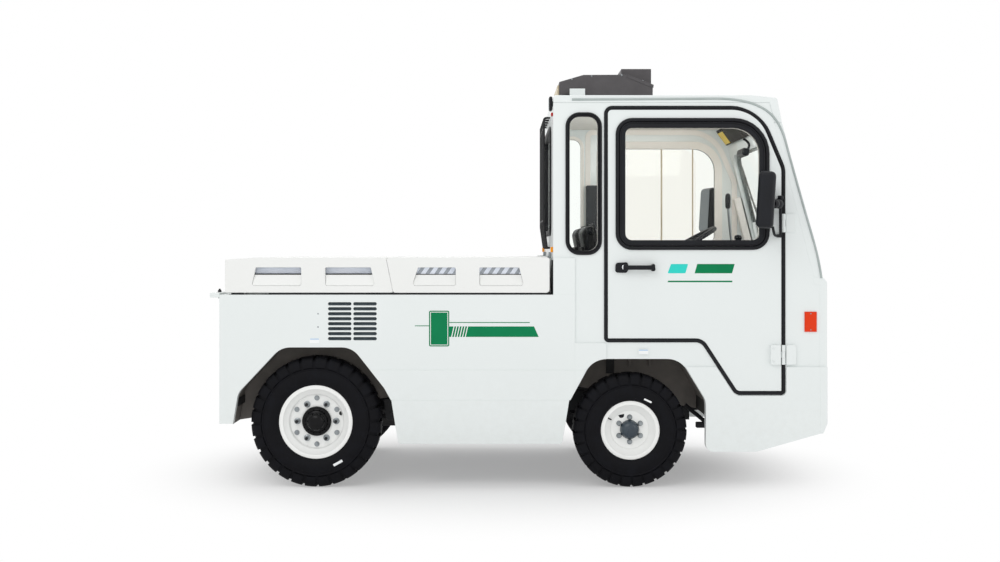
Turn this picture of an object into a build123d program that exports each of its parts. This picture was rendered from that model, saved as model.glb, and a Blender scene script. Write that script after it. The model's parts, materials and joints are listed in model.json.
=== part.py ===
from build123d import *
from math import cos, hypot, radians, sin
import os

# Airport baggage tug: battery-electric towing tractor with a two-seat cab at the front
# and a covered battery body behind it.
# Millimetres. +X is forward, +Y is left, +Z is up, z = 0 is the ground.
# Each function makes one sub-part, and the last section writes one STEP file for each.

# ---------------------------------------------------------------- driving dimensions
front_axle_x = 577.0        # front axle ahead of the origin
wheelbase = 1627.0
front_overhang = 1013.0     # front axle to the nose
rear_overhang = 202.0       # rear tyre's back to the rear ledge
body_half_width = 740.0     # battery body, outside face
cab_inset = 10.0            # cab's side inside the body's side
cab_top_z = 2026.0
wall = 40.0                 # cab and body walls and doors, whole thickness
pin_gap = 0.05              # radial running clearance of pins in their bores
seat_gap = 0.3              # clearance of a fitted piece in its seat

front_tyre_radius = 295.0
front_tyre_width = 175.0
front_rim_radius = 140.0
rear_tyre_radius = 338.0
rear_tyre_width = 190.0
rear_rim_radius = 178.0
tyre_inset = 20.0           # tyre's outer wall inside the body's side
scrub_offset = 132.0        # front wheel centre outboard of the kingpin

rail_width = 60.0
rail_height = 100.0
axle_to_rail_top = 165.0    # front axle's centre to the rails' top
axle_bump_gap = 52.0        # rear axle tube to the rails' hump over it
kingpin_to_rail = 140.0     # kingpin to the rail's outer face

deck_z = 998.0              # top of the body sides
cover_gap = 10.0            # covers above the body sides
cover_height = 192.0        # body sides' top to the covers' top
cover_inset = 5.0           # covers inside the body's side
cover_wall = 25.0
belt_z = 1088.0             # top of the front panel, foot of the windscreen
skirt_top_z = 456.0
skirt_bottom_z = 229.0
skirt_fold_z = 321.0        # skirts lean in below this
skirt_tuck = 16.0           # lean of the skirts' lower edge
flank_step = 4.0            # lower band and skirts stand out from the flank
band_height = 154.0         # lower band above the skirts
shoulder_z = 1187.0         # top of the raised skin behind the cab's quarter window
sill_rise = 82.0            # front arch to the top of the raised skin behind the door
nose_skin_z = 626.0         # top of the raised skin ahead of the door
skin_margin = 15.0          # raised skin kept off the door gap's centre line
sill_z = 190.0              # lowest edge of the cab sides
body_foot_z = 334.0         # lowest edge of the body's rear corner
floor_thickness = 20.0
front_arch_room = 77.0      # front tyre's top to its arch
rear_arch_room = 51.0       # rear tyre's top to its arch
door_gap = 18.0             # width of the sealed gap round each door
glass_thickness = 6.0
steer_arm = 130.0           # kingpin to tie rod joint
steering_wheel_radius = 180.0
seat_spacing = 660.0        # between the two seats' centre planes
hinge_pin_radius = 5.0
hinge_knuckle_radius = 9.0

# ---------------------------------------------------------------- places worked out
rear_axle_x = front_axle_x - wheelbase
nose_x = front_axle_x + front_overhang
tail_x = rear_axle_x - rear_tyre_radius - rear_overhang
body_rear_x = tail_x + 49.0
cab_rear_x = front_axle_x - front_tyre_radius - 105.0
split_x = front_axle_x - front_tyre_radius + 7.0    # seam between body side and cab side
cab_half_width = body_half_width - cab_inset
cover_half_width = body_half_width - cover_inset
front_wheel_y = body_half_width - tyre_inset - front_tyre_width / 2
rear_wheel_y = body_half_width - tyre_inset - rear_tyre_width / 2
kingpin_y = front_wheel_y - scrub_offset
rail_outer_y = kingpin_y - kingpin_to_rail
rail_y = rail_outer_y - rail_width / 2
cab_inner_y = cab_half_width - wall
body_inner_y = body_half_width - wall
front_axle_z = front_tyre_radius
rear_axle_z = rear_tyre_radius
rail_top_z = front_axle_z + axle_to_rail_top
rail_bottom_z = rail_top_z - rail_height
cover_top_z = deck_z + cover_height
front_arch_z = 2 * front_tyre_radius + front_arch_room
rear_arch_z = 2 * rear_tyre_radius + rear_arch_room
platform_z = front_arch_z + 68.0        # seat platform, top
roof_under_z = cab_top_z - wall
header_z = cab_top_z - 144.0            # foot of the roof's front edge
windscreen_foot_x = nose_x - 31.0
windscreen_top_x = nose_x - 233.0
windscreen_slope = (windscreen_foot_x - windscreen_top_x) / (header_z - belt_z)
door_rear_x = front_axle_x - 127.0
door_front_x = nose_x - 229.0
seat_y = seat_spacing / 2


# ---------------------------------------------------------------- helpers
def outline_face(outline):
    """Face in the x-z plane from rows of (x, z, corner radius)."""
    points = [(x, z) for x, z, radius in outline]
    radii = [radius for x, z, radius in outline]
    return Plane.XZ * make_face(FilletPolyline(*points, radius=radii, close=True).edges())


def slab(outline, y_from, y_to):
    """Solid between two y values on an x-z outline."""
    return extrude(Pos(0, y_from, 0) * outline_face(outline), amount=y_to - y_from, dir=(0, 1, 0))


def block(x_range, y_range, z_range):
    """Box between two corners, given as ranges."""
    sizes = [high - low for low, high in (x_range, y_range, z_range)]
    middle = [(high + low) / 2 for low, high in (x_range, y_range, z_range)]
    return Pos(*middle) * Box(*sizes)


def round_bar(start, end, radius):
    """Cylinder between two points."""
    axis = Vector(*end) - Vector(*start)
    return extrude(Plane(origin=start, z_dir=axis) * Circle(radius), amount=axis.length)


def mirrored(solid):
    """The same solid on the other side of the centre plane."""
    return mirror(solid, about=Plane.XZ)


def pair(solid):
    """A left-hand solid and its right-hand twin."""
    return [solid, mirrored(solid)]


def shifted(outline, x_shift):
    """Outline rows moved along x."""
    return [(x + x_shift, z, radius) for x, z, radius in outline]


def on_side(solid, side):
    """A left-hand solid, or its twin for the right-hand side."""
    return solid if side == "left" else mirrored(solid)


# ---------------------------------------------------------------- shared outlines
# Each row: x, z, corner radius.
arch_rear_foot = front_axle_x - front_tyre_radius - 17.0
arch_rear_top = front_axle_x - front_tyre_radius + 98.0
split_share = (split_x - arch_rear_foot) / (arch_rear_top - arch_rear_foot)
split_foot_z = skirt_top_z + split_share * (front_arch_z - skirt_top_z)
front_arch = [
    (split_x, split_foot_z, 0),
    (arch_rear_top, front_arch_z, 120),
    (front_axle_x + front_tyre_radius - 40, front_arch_z, 120),
    (front_axle_x + front_tyre_radius + 90, skirt_top_z - 3, 90),
    (front_axle_x + front_tyre_radius + 90, sill_z, 39),
]
rear_arch = [
    (rear_axle_x - rear_tyre_radius - 83, body_foot_z, 0),
    (rear_axle_x - rear_tyre_radius - 57, rear_axle_z + 154, 90),
    (rear_axle_x - rear_tyre_radius + 164, rear_arch_z, 110),
    (rear_axle_x + rear_tyre_radius - 146, rear_arch_z, 110),
    (rear_axle_x + rear_tyre_radius + 18, rear_axle_z + 182, 60),
    (rear_axle_x + rear_tyre_radius + 54, skirt_top_z, 0),
]
# Centre line of the gap round the door.
door_seam = [
    (door_rear_x, front_arch_z + 97, 12),
    (door_rear_x, cab_top_z - 67, 30),
    (door_front_x - 130, cab_top_z - 67, 204),
    (door_front_x, cab_top_z - 378, 100),
    (door_front_x, rail_top_z + 33, 12),
    (door_front_x - 240, rail_top_z + 33, 35),
    (front_axle_x + front_tyre_radius + 72, front_arch_z + 97, 60),
]
# Openings for the panes.
door_window = [
    (door_rear_x + 63, 1243, 70),
    (door_rear_x + 63, cab_top_z - 133, 70),
    (door_front_x - 85, cab_top_z - 133, 170),
    (door_front_x - 85, 1243, 70),
]
quarter_window = [
    (cab_rear_x + 75, 1214, 60),
    (cab_rear_x + 75, cab_top_z - 101, 60),
    (cab_rear_x + 239, cab_top_z - 101, 60),
    (cab_rear_x + 239, 1214, 60),
]


# ---------------------------------------------------------------- chassis
def chassis_frame():
    """Two rails with a hump over the rear axle, crossmembers, outriggers and spring hangers."""
    rail_kick = rear_axle_z + rear_tube_radius + axle_bump_gap - rail_bottom_z
    hump = shifted([(-240, 0, 0), (-180, rail_kick, 0), (180, rail_kick, 0), (240, 0, 0)], rear_axle_x)
    lower = [(body_rear_x + wall, rail_bottom_z, 0)]
    lower += [(x, rail_bottom_z + z, 0) for x, z, radius in hump]
    lower += [(nose_x - 90, rail_bottom_z, 0), (nose_x - 90, rail_top_z, 0)]
    upper = shifted([(270, 0, 0), (200, rail_kick, 0), (-200, rail_kick, 0), (-270, 0, 0)], rear_axle_x)
    upper = [(x, rail_top_z + z, 0) for x, z, radius in upper]
    rail = slab(lower + upper + [(body_rear_x + wall, rail_top_z, 0)], rail_outer_y - rail_width, rail_outer_y)
    frame = rail + mirrored(rail)
    # Crossmembers. Columns: x of the rear face, length along x, half width.
    crossmembers = [
        (body_rear_x + 80, 40, rail_outer_y),
        (rear_axle_x + rear_tyre_radius + 132, 50, rail_outer_y),
        (cab_rear_x - 60, 50, rail_outer_y),
        (front_axle_x + front_tyre_radius + 145, 60, cab_inner_y),
        (nose_x - 150, 60, cab_inner_y),
    ]
    for x, length, half_width in crossmembers:
        frame += block((x, x + length), (-half_width, half_width), (rail_bottom_z + 20, rail_top_z))
    # Outriggers to the body sides. Column: x of the rear face.
    for x in (body_rear_x + wall + 2, rear_axle_x + rear_tyre_radius + 72, cab_rear_x - 120):
        beam = block((x, x + 50), (rail_outer_y, body_inner_y), (rail_top_z - 40, rail_top_z))
        frame += beam
        frame += mirrored(beam)
    for x, y, z, eye_x in spring_places():
        for side in (-1, 1):
            hanger = spring_hanger(x + side * eye_x, y, z)
            frame += hanger
            frame += mirrored(hanger)
    return frame


# ---------------------------------------------------------------- springs and axles
spring_width = 50.0
spring_thickness = 24.0
spring_eye_radius = 22.0
spring_pin_radius = 12.0
hanger_cheek = 10.0
front_spring_reach = 325.0
rear_spring_reach = 389.0
front_beam_top_z = front_axle_z - 5.0
front_beam_height = 50.0
rear_tube_radius = 50.0
rear_spring_y = rail_outer_y + 80.0
front_spring_eye_z = front_beam_top_z + spring_thickness / 2 + 28.0
rear_spring_eye_z = rear_axle_z + 17.0
rear_spring_seat_z = rear_axle_z - rear_tube_radius - 12.0


def spring_places():
    """Rows of (axle x, spring y, eye z, eye reach from the axle)."""
    return [
        (front_axle_x, rail_y, front_spring_eye_z, front_spring_reach),
        (rear_axle_x, rear_spring_y, rear_spring_eye_z, rear_spring_reach),
    ]


def spring_hanger(x, y, z):
    """Two cheeks with a pin, hung from the rail or from a bracket on its side."""
    half = spring_width / 2 + seat_gap
    length = spring_eye_radius + 6
    foot = z - spring_eye_radius
    top = max(rail_bottom_z, z + spring_eye_radius + 4)
    cheek = block((x - length, x + length), (y + half, y + half + hanger_cheek), (foot, top + 14))
    cap = block((x - length, x + length), (y - half - hanger_cheek, y + half + hanger_cheek), (top, top + 14))
    pin_half = half + hanger_cheek
    hanger = cheek + mirror(cheek, about=Plane.XZ.offset(-y)) + cap
    hanger += round_bar((x, y - pin_half, z), (x, y + pin_half, z), spring_pin_radius)
    if y - half > rail_outer_y:
        hanger += block((x - length, x + length), (rail_outer_y, y - half), (foot, top + 14))
    return hanger


def leaf_spring(x, y, seat_z, eye_z, reach):
    """Bowed leaf pack from eye to eye, flat where the axle sits."""
    low = seat_z
    top = seat_z + spring_thickness
    flat = 45.0
    rise = eye_z - (low + top) / 2
    leaf = slab(
        [
            (x - reach, eye_z - spring_thickness / 2, 0),
            (x - reach, eye_z + spring_thickness / 2, 0),
            (x - reach * 0.55, top + rise * 0.35, 300),
            (x - flat, top, 0),
            (x + flat, top, 0),
            (x + reach * 0.55, top + rise * 0.35, 300),
            (x + reach, eye_z + spring_thickness / 2, 0),
            (x + reach, eye_z - spring_thickness / 2, 0),
            (x + reach * 0.55, low + rise * 0.35, 300),
            (x + flat, low, 0),
            (x - flat, low, 0),
            (x - reach * 0.55, low + rise * 0.35, 300),
        ],
        y - spring_width / 2,
        y + spring_width / 2,
    )
    for side in (-1, 1):
        eye_x = x + side * reach
        ends = [(eye_x, y - spring_width / 2, eye_z), (eye_x, y + spring_width / 2, eye_z)]
        leaf += round_bar(*ends, spring_eye_radius)
        leaf -= round_bar(*ends, spring_pin_radius + seat_gap)
    return leaf


def leaf_springs():
    """Four leaf packs: over the front beam and under the rear axle."""
    front = leaf_spring(front_axle_x, rail_y, front_beam_top_z, front_spring_eye_z, front_spring_reach)
    rear_seat = rear_spring_seat_z - spring_thickness
    rear = leaf_spring(rear_axle_x, rear_spring_y, rear_seat, rear_spring_eye_z, rear_spring_reach)
    return pair(front) + pair(rear)


kingpin_radius = 17.0
eye_radius = 30.0
eye_half_height = 40.0
beam_half_length = 35.0


def front_axle():
    """Beam with a kingpin eye at each end."""
    beam = block(
        (front_axle_x - beam_half_length, front_axle_x + beam_half_length),
        (-kingpin_y + 62, kingpin_y - 62),
        (front_beam_top_z - front_beam_height, front_beam_top_z),
    )
    for side in (-1, 1):
        y = side * kingpin_y
        inner = side * (kingpin_y - 70)
        beam += block(
            (front_axle_x - 24, front_axle_x + 24),
            (min(inner, y), max(inner, y)),
            (front_axle_z - eye_half_height + 6, front_axle_z + eye_half_height - 6),
        )
        foot = (front_axle_x, y, front_axle_z - eye_half_height)
        head = (front_axle_x, y, front_axle_z + eye_half_height)
        beam += round_bar(foot, head, eye_radius)
        beam -= round_bar(foot, head, kingpin_radius + pin_gap)
    return beam


ear_thickness = 24.0
ear_gap = 0.5
front_spindle_radius = 25.0
front_hub_radius = 46.0
front_hub_reach = (-35.0, 45.0)     # hub ends inboard and outboard of the wheel centre
rear_stub_radius = 34.0
rear_hub_radius = 62.0
rear_hub_reach = (-60.0, 50.0)
tie_stud_radius = 9.0
arm_thickness = 18.0
knuckle_plate = 20.0


def knuckle():
    """Left steering knuckle: fork on the kingpin, wheel spindle and steering arm."""
    x, y, z = front_axle_x, kingpin_y, front_axle_z
    plate_y = y + eye_radius + 12
    ear_z = eye_half_height + ear_gap
    foot = z - ear_z - ear_thickness
    head = z + ear_z + ear_thickness
    body = round_bar((x, y, foot), (x, y, head), kingpin_radius)
    for low in (foot, z + ear_z):
        body += round_bar((x, y, low), (x, y, low + ear_thickness), eye_radius + 4)
        body += block((x - 28, x + 28), (y, plate_y + 1), (low, low + ear_thickness))
    body += block((x - 40, x + 40), (plate_y, plate_y + knuckle_plate), (foot, head))
    spindle_end = front_wheel_y + front_hub_reach[1] - 6
    body += round_bar((x, plate_y + knuckle_plate, z), (x, spindle_end, z), front_spindle_radius)
    arm_end = x - steer_arm
    arm = block((arm_end, x), (y - 18, y + 18), (foot, foot + arm_thickness))
    arm += round_bar((arm_end, y, foot), (arm_end, y, foot + arm_thickness), 18)
    arm -= round_bar((arm_end, y, foot), (arm_end, y, foot + arm_thickness), tie_stud_radius + pin_gap)
    return body + arm


tie_rod_radius = 13.0


def tie_rod():
    """Rod between the two steering arms, with a stud down through each."""
    x = front_axle_x - steer_arm
    arm_foot = front_axle_z - eye_half_height - ear_gap - ear_thickness
    arm_top = arm_foot + arm_thickness
    z = arm_top + 5 + tie_rod_radius
    rod = round_bar((x, -kingpin_y, z), (x, kingpin_y, z), tie_rod_radius)
    for y in (-kingpin_y, kingpin_y):
        rod += round_bar((x, y, arm_top + 1), (x, y, z + 16), 19)
        rod += round_bar((x, y, arm_foot - 3), (x, y, arm_top + 2), tie_stud_radius)
    return rod


def rear_axle():
    """Axle tube with differential housing, spring seats, brake drums and wheel stubs."""
    x, z = rear_axle_x, rear_axle_z
    inner = rear_wheel_y - rear_tyre_width / 2
    drum_outer = inner - 8
    axle = round_bar((x, -drum_outer, z), (x, drum_outer, z), rear_tube_radius)
    axle += round_bar((x - 90, 0, z), (x + 90, 0, z), 120)
    for side in (-1, 1):
        drum_inner = side * (drum_outer - 50)
        axle += round_bar((x, drum_inner, z), (x, side * drum_outer, z), 150)
        stub_end = side * (rear_wheel_y + rear_hub_reach[1] - 6)
        axle += round_bar((x, side * drum_outer, z), (x, stub_end, z), rear_stub_radius)
        seat = side * rear_spring_y
        axle += block(
            (x - 40, x + 40),
            (seat - spring_width / 2, seat + spring_width / 2),
            (rear_spring_seat_z, z),
        )
    return axle


def drive_motor():
    """Traction motor and gearbox as one plain block ahead of the differential."""
    x = rear_axle_x + 90
    return block((x, x + 320), (-125, 125), (rear_axle_z - 95, rear_axle_z + 110))


def battery_pack():
    """Traction battery on the rails, as one plain block."""
    return block(
        (rear_axle_x + rear_tyre_radius + 112, cab_rear_x - 57),
        (-body_inner_y + 100, body_inner_y - 100),
        (rail_top_z, deck_z - 38),
    )


# ---------------------------------------------------------------- wheels
bead_inset = 27.0
flange_height = 12.0
flange_thickness = 8.0
barrel_thickness = 12.0
disc_thickness = 12.0
disc_offset = 18.0          # wheel disc outboard of the wheel's centre plane


def ring(section):
    """Ring about the y axis from rows of (radius, y, corner radius)."""
    points = [(r, y) for r, y, corner in section]
    corners = [corner for r, y, corner in section]
    face = make_face(FilletPolyline(*points, radius=corners, close=True).edges())
    return revolve(face, Axis.Y)


def tyre(radius, width, rim_radius):
    """Pneumatic tyre as a ring with flat tread and round shoulders."""
    half = width / 2
    bead = half - bead_inset
    foot = rim_radius + flange_height
    edge = [
        (rim_radius, bead, 0),
        (foot, bead, 0),
        (foot + 16, half - 2, 10),
        (radius - 55, half, 60),
        (radius - 12, half - 14, 18),
        (radius, half - 42, 14),
    ]
    return ring(edge + [(r, -y, corner) for r, y, corner in reversed(edge)])


def rim(width, rim_radius, hub_radius, hub_reach, spindle_radius):
    """Rim barrel with flanges, wheel disc and hub, outboard side towards +y."""
    bead = width / 2 - bead_inset
    inside = rim_radius - barrel_thickness
    lip = rim_radius + flange_height
    hub_in, hub_out = hub_reach
    bore = spindle_radius + pin_gap
    barrel = ring(
        [
            (inside, -bead - flange_thickness, 0),
            (lip, -bead - flange_thickness, 3),
            (lip, -bead, 0),
            (rim_radius, -bead, 0),
            (rim_radius, bead, 0),
            (lip, bead, 0),
            (lip, bead + flange_thickness, 3),
            (inside, bead + flange_thickness, 0),
        ]
    )
    disc = ring(
        [
            (hub_radius - 2, disc_offset, 0),
            (inside + 1, disc_offset, 0),
            (inside + 1, disc_offset + disc_thickness, 0),
            (hub_radius - 2, disc_offset + disc_thickness, 0),
        ]
    )
    hub = ring([(bore, hub_in, 0), (hub_radius, hub_in, 0), (hub_radius, hub_out, 6), (bore, hub_out, 0)])
    cap = round_bar((0, hub_out - 1, 0), (0, hub_out + 14, 0), hub_radius - 8)
    return barrel + disc + hub + cap


# ---------------------------------------------------------------- battery body
vent_slot = (121.0, 17.0)           # length, height
vent_pitch = 25.6
vent_margin = 40.0                  # arch to the middle of the lowest slot, at least
vent_columns = (128.5, 258.5)       # slot centres ahead of the rear axle
vent_top_z = deck_z - 47.0


def lower_band(outline):
    """Strip of an outline, between the arches and over the skirts, that stands out from the flank."""
    band = slab(outline, body_half_width - 1, body_half_width + flank_step)
    reach = block((rear_axle_x, front_axle_x), (0, body_half_width + 10), (skirt_top_z, skirt_top_z + band_height))
    return band & reach


def body_side():
    """Left flank of the battery body with its wheel arch and louvre slots."""
    rear = body_rear_x
    outline = [(rear, body_foot_z, 0)] + rear_arch
    outline += [
        (arch_rear_foot, skirt_top_z, 0),
        (split_x, split_foot_z, 0),
        (split_x, deck_z, 0),
        (rear, deck_z, 0),
    ]
    side = slab(outline, body_inner_y, body_half_width) + lower_band(outline)
    length, height = vent_slot
    vent_rows = int((vent_top_z - rear_arch_z - vent_margin) / vent_pitch) + 1
    for column in vent_columns:
        for row in range(vent_rows):
            x = rear_axle_x + column
            z = vent_top_z - row * vent_pitch
            slot = Pos(x, body_inner_y - 1, z) * (Plane.XZ * SlotOverall(length, height))
            side -= extrude(slot, amount=wall + 2, dir=(0, 1, 0))
    return side


def skirt():
    """Left skirt below the flank, between the wheels."""
    outline = [
        (rear_axle_x + rear_tyre_radius + 56, skirt_top_z, 0),
        (front_axle_x - front_tyre_radius - 23, skirt_top_z, 0),
        (front_axle_x - front_tyre_radius - 59, skirt_bottom_z, 12),
        (rear_axle_x + rear_tyre_radius + 92, skirt_bottom_z, 12),
    ]
    panel = slab(outline, body_inner_y, body_half_width + flank_step)
    fold = [
        (body_half_width + flank_step + 1, skirt_fold_z),
        (body_half_width + flank_step, skirt_fold_z),
        (body_half_width + flank_step - skirt_tuck, skirt_bottom_z),
        (body_half_width + flank_step - skirt_tuck, skirt_bottom_z - 1),
        (body_half_width + flank_step + 1, skirt_bottom_z - 1),
    ]
    wedge = Plane.YZ * make_face(Polyline(*fold, close=True).edges())
    return panel - extrude(Pos(rear_axle_x, 0, 0) * wedge, amount=wheelbase, dir=(1, 0, 0))


hitch_half_width = 110.0
hitch_opening_top = 680.0


def rear_panel():
    """Rear wall with the opening for the tow hitch."""
    panel = block((body_rear_x, body_rear_x + wall), (-body_inner_y, body_inner_y), (body_foot_z, deck_z))
    opening = block(
        (body_rear_x - 1, body_rear_x + wall + 1),
        (-hitch_half_width, hitch_half_width),
        (body_foot_z - 1, hitch_opening_top),
    )
    return panel - opening


def rear_ledge():
    """Step plate across the top of the rear wall."""
    return block((tail_x, body_rear_x), (-body_half_width, body_half_width), (deck_z - 15, deck_z + 10))


coaming_wall = 25.0
coaming_top_z = deck_z + 102.0
coaming_half_width = body_inner_y - 40.0
coaming_clearance = 10.0
coaming_setback = 190.0             # cab wall to the coaming, for the front cover's foot to swing
deck_thickness = 30.0


def load_deck():
    """Deck between the body sides with a raised coaming round the battery well."""
    rear, front = body_rear_x + wall, cab_rear_x
    deck = block((rear, front), (-body_inner_y, body_inner_y), (deck_z - deck_thickness, deck_z))
    well_rear, well_front = rear + 106, front - coaming_setback - coaming_wall
    well_half_width = coaming_half_width - coaming_wall
    rise = block(
        (well_rear - coaming_wall, well_front + coaming_wall),
        (-coaming_half_width, coaming_half_width),
        (deck_z - 1, coaming_top_z),
    )
    well = block(
        (well_rear, well_front),
        (-well_half_width, well_half_width),
        (deck_z - deck_thickness - 1, coaming_top_z + 1),
    )
    return deck + rise - well


cover_seam_gap = 6.0
cover_foot_z = deck_z + cover_gap
cover_front_x = cab_rear_x - 19.0
cover_rear_x = body_rear_x + 28.0
# Side cut-outs. Columns: x of the foot's ends and of the top's ends, ahead of the rear axle.
rear_cutouts = [(-326, -71, -305, -71), (53, 308, 53, 287)]
front_cutouts = [(500, 725, 531, 725), (847, 1076, 847, 1052)]
cutout_foot_z = deck_z + 46.0
cutout_top_z = deck_z + 140.0
seam_top_x = rear_axle_x + 367.0
seam_foot_x = rear_axle_x + 403.0


def cut_windows(cover, cutouts):
    """Cover with its trapezoid side cut-outs, through both side walls."""
    for foot_rear, foot_front, top_rear, top_front in cutouts:
        outline = shifted(
            [
                (foot_rear, cutout_foot_z, 12),
                (foot_front, cutout_foot_z, 12),
                (top_front, cutout_top_z, 6),
                (top_rear, cutout_top_z, 6),
            ],
            rear_axle_x,
        )
        cover -= slab(outline, -cover_half_width - 1, cover_half_width + 1)
    return cover


def rear_cover():
    """Fixed cover over the rear of the body: a lid with side and rear walls, open to the front cover."""
    outside = [
        (cover_rear_x, cover_foot_z, 0),
        (cover_rear_x, cover_top_z - 11, 5),
        (cover_rear_x + 162, cover_top_z, 0),
        (seam_top_x - cover_seam_gap, cover_top_z, 0),
        (seam_foot_x - cover_seam_gap, cover_foot_z, 0),
    ]
    inside = [
        (cover_rear_x + cover_wall, cover_foot_z - 1, 0),
        (cover_rear_x + cover_wall, cover_top_z - 11 - cover_wall, 5),
        (cover_rear_x + 162, cover_top_z - cover_wall, 0),
        (seam_foot_x, cover_top_z - cover_wall, 0),
        (seam_foot_x, cover_foot_z - 1, 0),
    ]
    inner_y = cover_half_width - cover_wall
    cover = slab(outside, -cover_half_width, cover_half_width) - slab(inside, -inner_y, inner_y)
    return cut_windows(cover, rear_cutouts)


lid_hinge_z = cover_top_z + 1.0
lid_hinge_x = cover_front_x + 6.0
lid_knuckle_radius = 7.0
lid_pin_radius = 3.5
lid_hinge_y = 430.0
lid_hinge_width = 90.0


def battery_cover():
    """Front cover, hinged at its top front edge, with the moving half of its hinges."""
    outside = [
        (seam_foot_x, cover_foot_z, 14),
        (seam_top_x, cover_top_z, 14),
        (cover_front_x, cover_top_z, 14),
        (cover_front_x, cover_foot_z, 18),
    ]
    inside = [
        (seam_foot_x + cover_wall, cover_foot_z - 1, 0),
        (seam_top_x + cover_wall, cover_top_z - cover_wall, 0),
        (cover_front_x - cover_wall, cover_top_z - cover_wall, 0),
        (cover_front_x - cover_wall, cover_foot_z - 1, 0),
    ]
    inner_y = cover_half_width - cover_wall
    cover = slab(outside, -cover_half_width, cover_half_width) - slab(inside, -inner_y, inner_y)
    cover = cut_windows(cover, front_cutouts)
    notch = block(
        (seam_top_x - 1, seam_foot_x + 2 * cover_wall),
        (coaming_half_width - coaming_wall - coaming_clearance, coaming_half_width + coaming_clearance),
        (cover_foot_z - 1, coaming_top_z + coaming_clearance),
    )
    cover = cover - notch - mirrored(notch)
    for y in (-lid_hinge_y, lid_hinge_y):
        low, high = y - lid_hinge_width / 6, y + lid_hinge_width / 6
        cover += block((lid_hinge_x - 36, lid_hinge_x), (low, high), (cover_top_z - 5, cover_top_z + 6))
        ends = [(lid_hinge_x, low, lid_hinge_z), (lid_hinge_x, high, lid_hinge_z)]
        cover += round_bar(*ends, lid_knuckle_radius)
        cover -= round_bar(*ends, lid_pin_radius + pin_gap)
    return cover


def cover_hinges():
    """Fixed halves of the front cover's hinges, on the cab's rear wall, with their pins."""
    hinges = []
    third = lid_hinge_width / 3
    for y in (-lid_hinge_y, lid_hinge_y):
        start, end = y - lid_hinge_width / 2, y + lid_hinge_width / 2
        hinge = round_bar((lid_hinge_x, start, lid_hinge_z), (lid_hinge_x, end, lid_hinge_z), lid_pin_radius)
        for low in (start, end - third + 0.5):
            high = low + third - 0.5
            hinge += round_bar((lid_hinge_x, low, lid_hinge_z), (lid_hinge_x, high, lid_hinge_z), lid_knuckle_radius)
            hinge += block((lid_hinge_x, cab_rear_x), (low, high), (lid_hinge_z - lid_knuckle_radius, lid_hinge_z + 26))
        hinges.append(hinge)
    return hinges


def cover_buffers():
    """Rubber buffers between the body sides and the covers."""
    y = cover_half_width - cover_wall / 2
    buffers = []
    # Columns: x of the buffer's middle, height.
    places = [
        (body_rear_x + 90, cover_gap),
        (seam_foot_x - 110, cover_gap),
        (seam_foot_x + 90, cover_gap - seat_gap),
        (cover_front_x - 120, cover_gap - seat_gap),
    ]
    for x, height in places:
        buffers += pair(block((x - 30, x + 30), (y - 10, y + 10), (deck_z, deck_z + height)))
    return buffers


def tow_hitch():
    """Two jaw plates on a back plate, bored for the tow pin."""
    back = body_rear_x + 80
    hitch = block((back - 14, back), (-80, 80), (340, 470))
    for low in hitch_jaws:
        hitch += block((body_rear_x + 5, back - 13), (-60, 60), (low, low + jaw_thickness))
    hitch -= round_bar((tow_pin_x, 0, 330), (tow_pin_x, 0, 480), tow_pin_radius + pin_gap)
    return hitch


tow_pin_radius = 15.0
tow_pin_x = body_rear_x + 36.0
jaw_thickness = 16.0
hitch_jaws = (352.0, 438.0)         # undersides of the lower and upper jaw


def tow_pin():
    """Tow pin resting by its collar on the upper jaw, with a lifting ring."""
    upper = hitch_jaws[1] + jaw_thickness
    pin = round_bar((tow_pin_x, 0, hitch_jaws[0] - 12), (tow_pin_x, 0, upper + 40), tow_pin_radius)
    pin += round_bar((tow_pin_x, 0, upper), (tow_pin_x, 0, upper + 10), tow_pin_radius + 8)
    loop = Pos(tow_pin_x, 0, upper + 62) * Rot(0, 90, 0) * Torus(26, 5)
    return pin + loop


# ---------------------------------------------------------------- cab
def door_face(amount):
    """Door outline grown, or shrunk where negative, by half the gap."""
    return offset(outline_face(door_seam), amount=amount)


def raised_skin(outline):
    """Outer skin of the cab's lower flank and rear shoulder, level with the battery body."""
    skin = slab(outline, cab_half_width - 1, body_half_width)
    depth = (cab_half_width, body_half_width + 1)
    skin -= extrude(Pos(0, depth[0], 0) * door_face(skin_margin), amount=depth[1] - depth[0], dir=(0, 1, 0))
    skin -= block((0, split_x), depth, (shoulder_z, cab_top_z))
    skin -= block((split_x, door_rear_x), depth, (front_arch_z + sill_rise, cab_top_z))
    return skin - block((door_rear_x, nose_x), depth, (nose_skin_z, cab_top_z))


def cab_side():
    """Left side of the cab with door opening, quarter window and wheel arch."""
    pillar = windscreen_slope * (roof_under_z - header_z)
    outline = front_arch + [
        (nose_x - 368, sill_z, 0),
        (nose_x - wall, 283, 0),
        (nose_x - wall, belt_z - wall, 0),
        (windscreen_foot_x - wall, belt_z - wall, 0),
        (windscreen_foot_x - wall, belt_z, 0),
        (windscreen_top_x - wall, header_z, 0),
        (windscreen_top_x - wall - pillar, roof_under_z, 0),
        (cab_rear_x, roof_under_z, 0),
        (cab_rear_x, deck_z, 0),
        (split_x, deck_z, 0),
    ]
    side = slab(outline, cab_inner_y, cab_half_width) + raised_skin(outline) + lower_band(outline)
    opening = Pos(0, cab_inner_y - 1, 0) * door_face(door_gap / 2)
    side -= extrude(opening, amount=wall + 2, dir=(0, 1, 0))
    side -= slab(quarter_window, cab_inner_y - 1, cab_half_width + 1)
    return side


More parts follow.
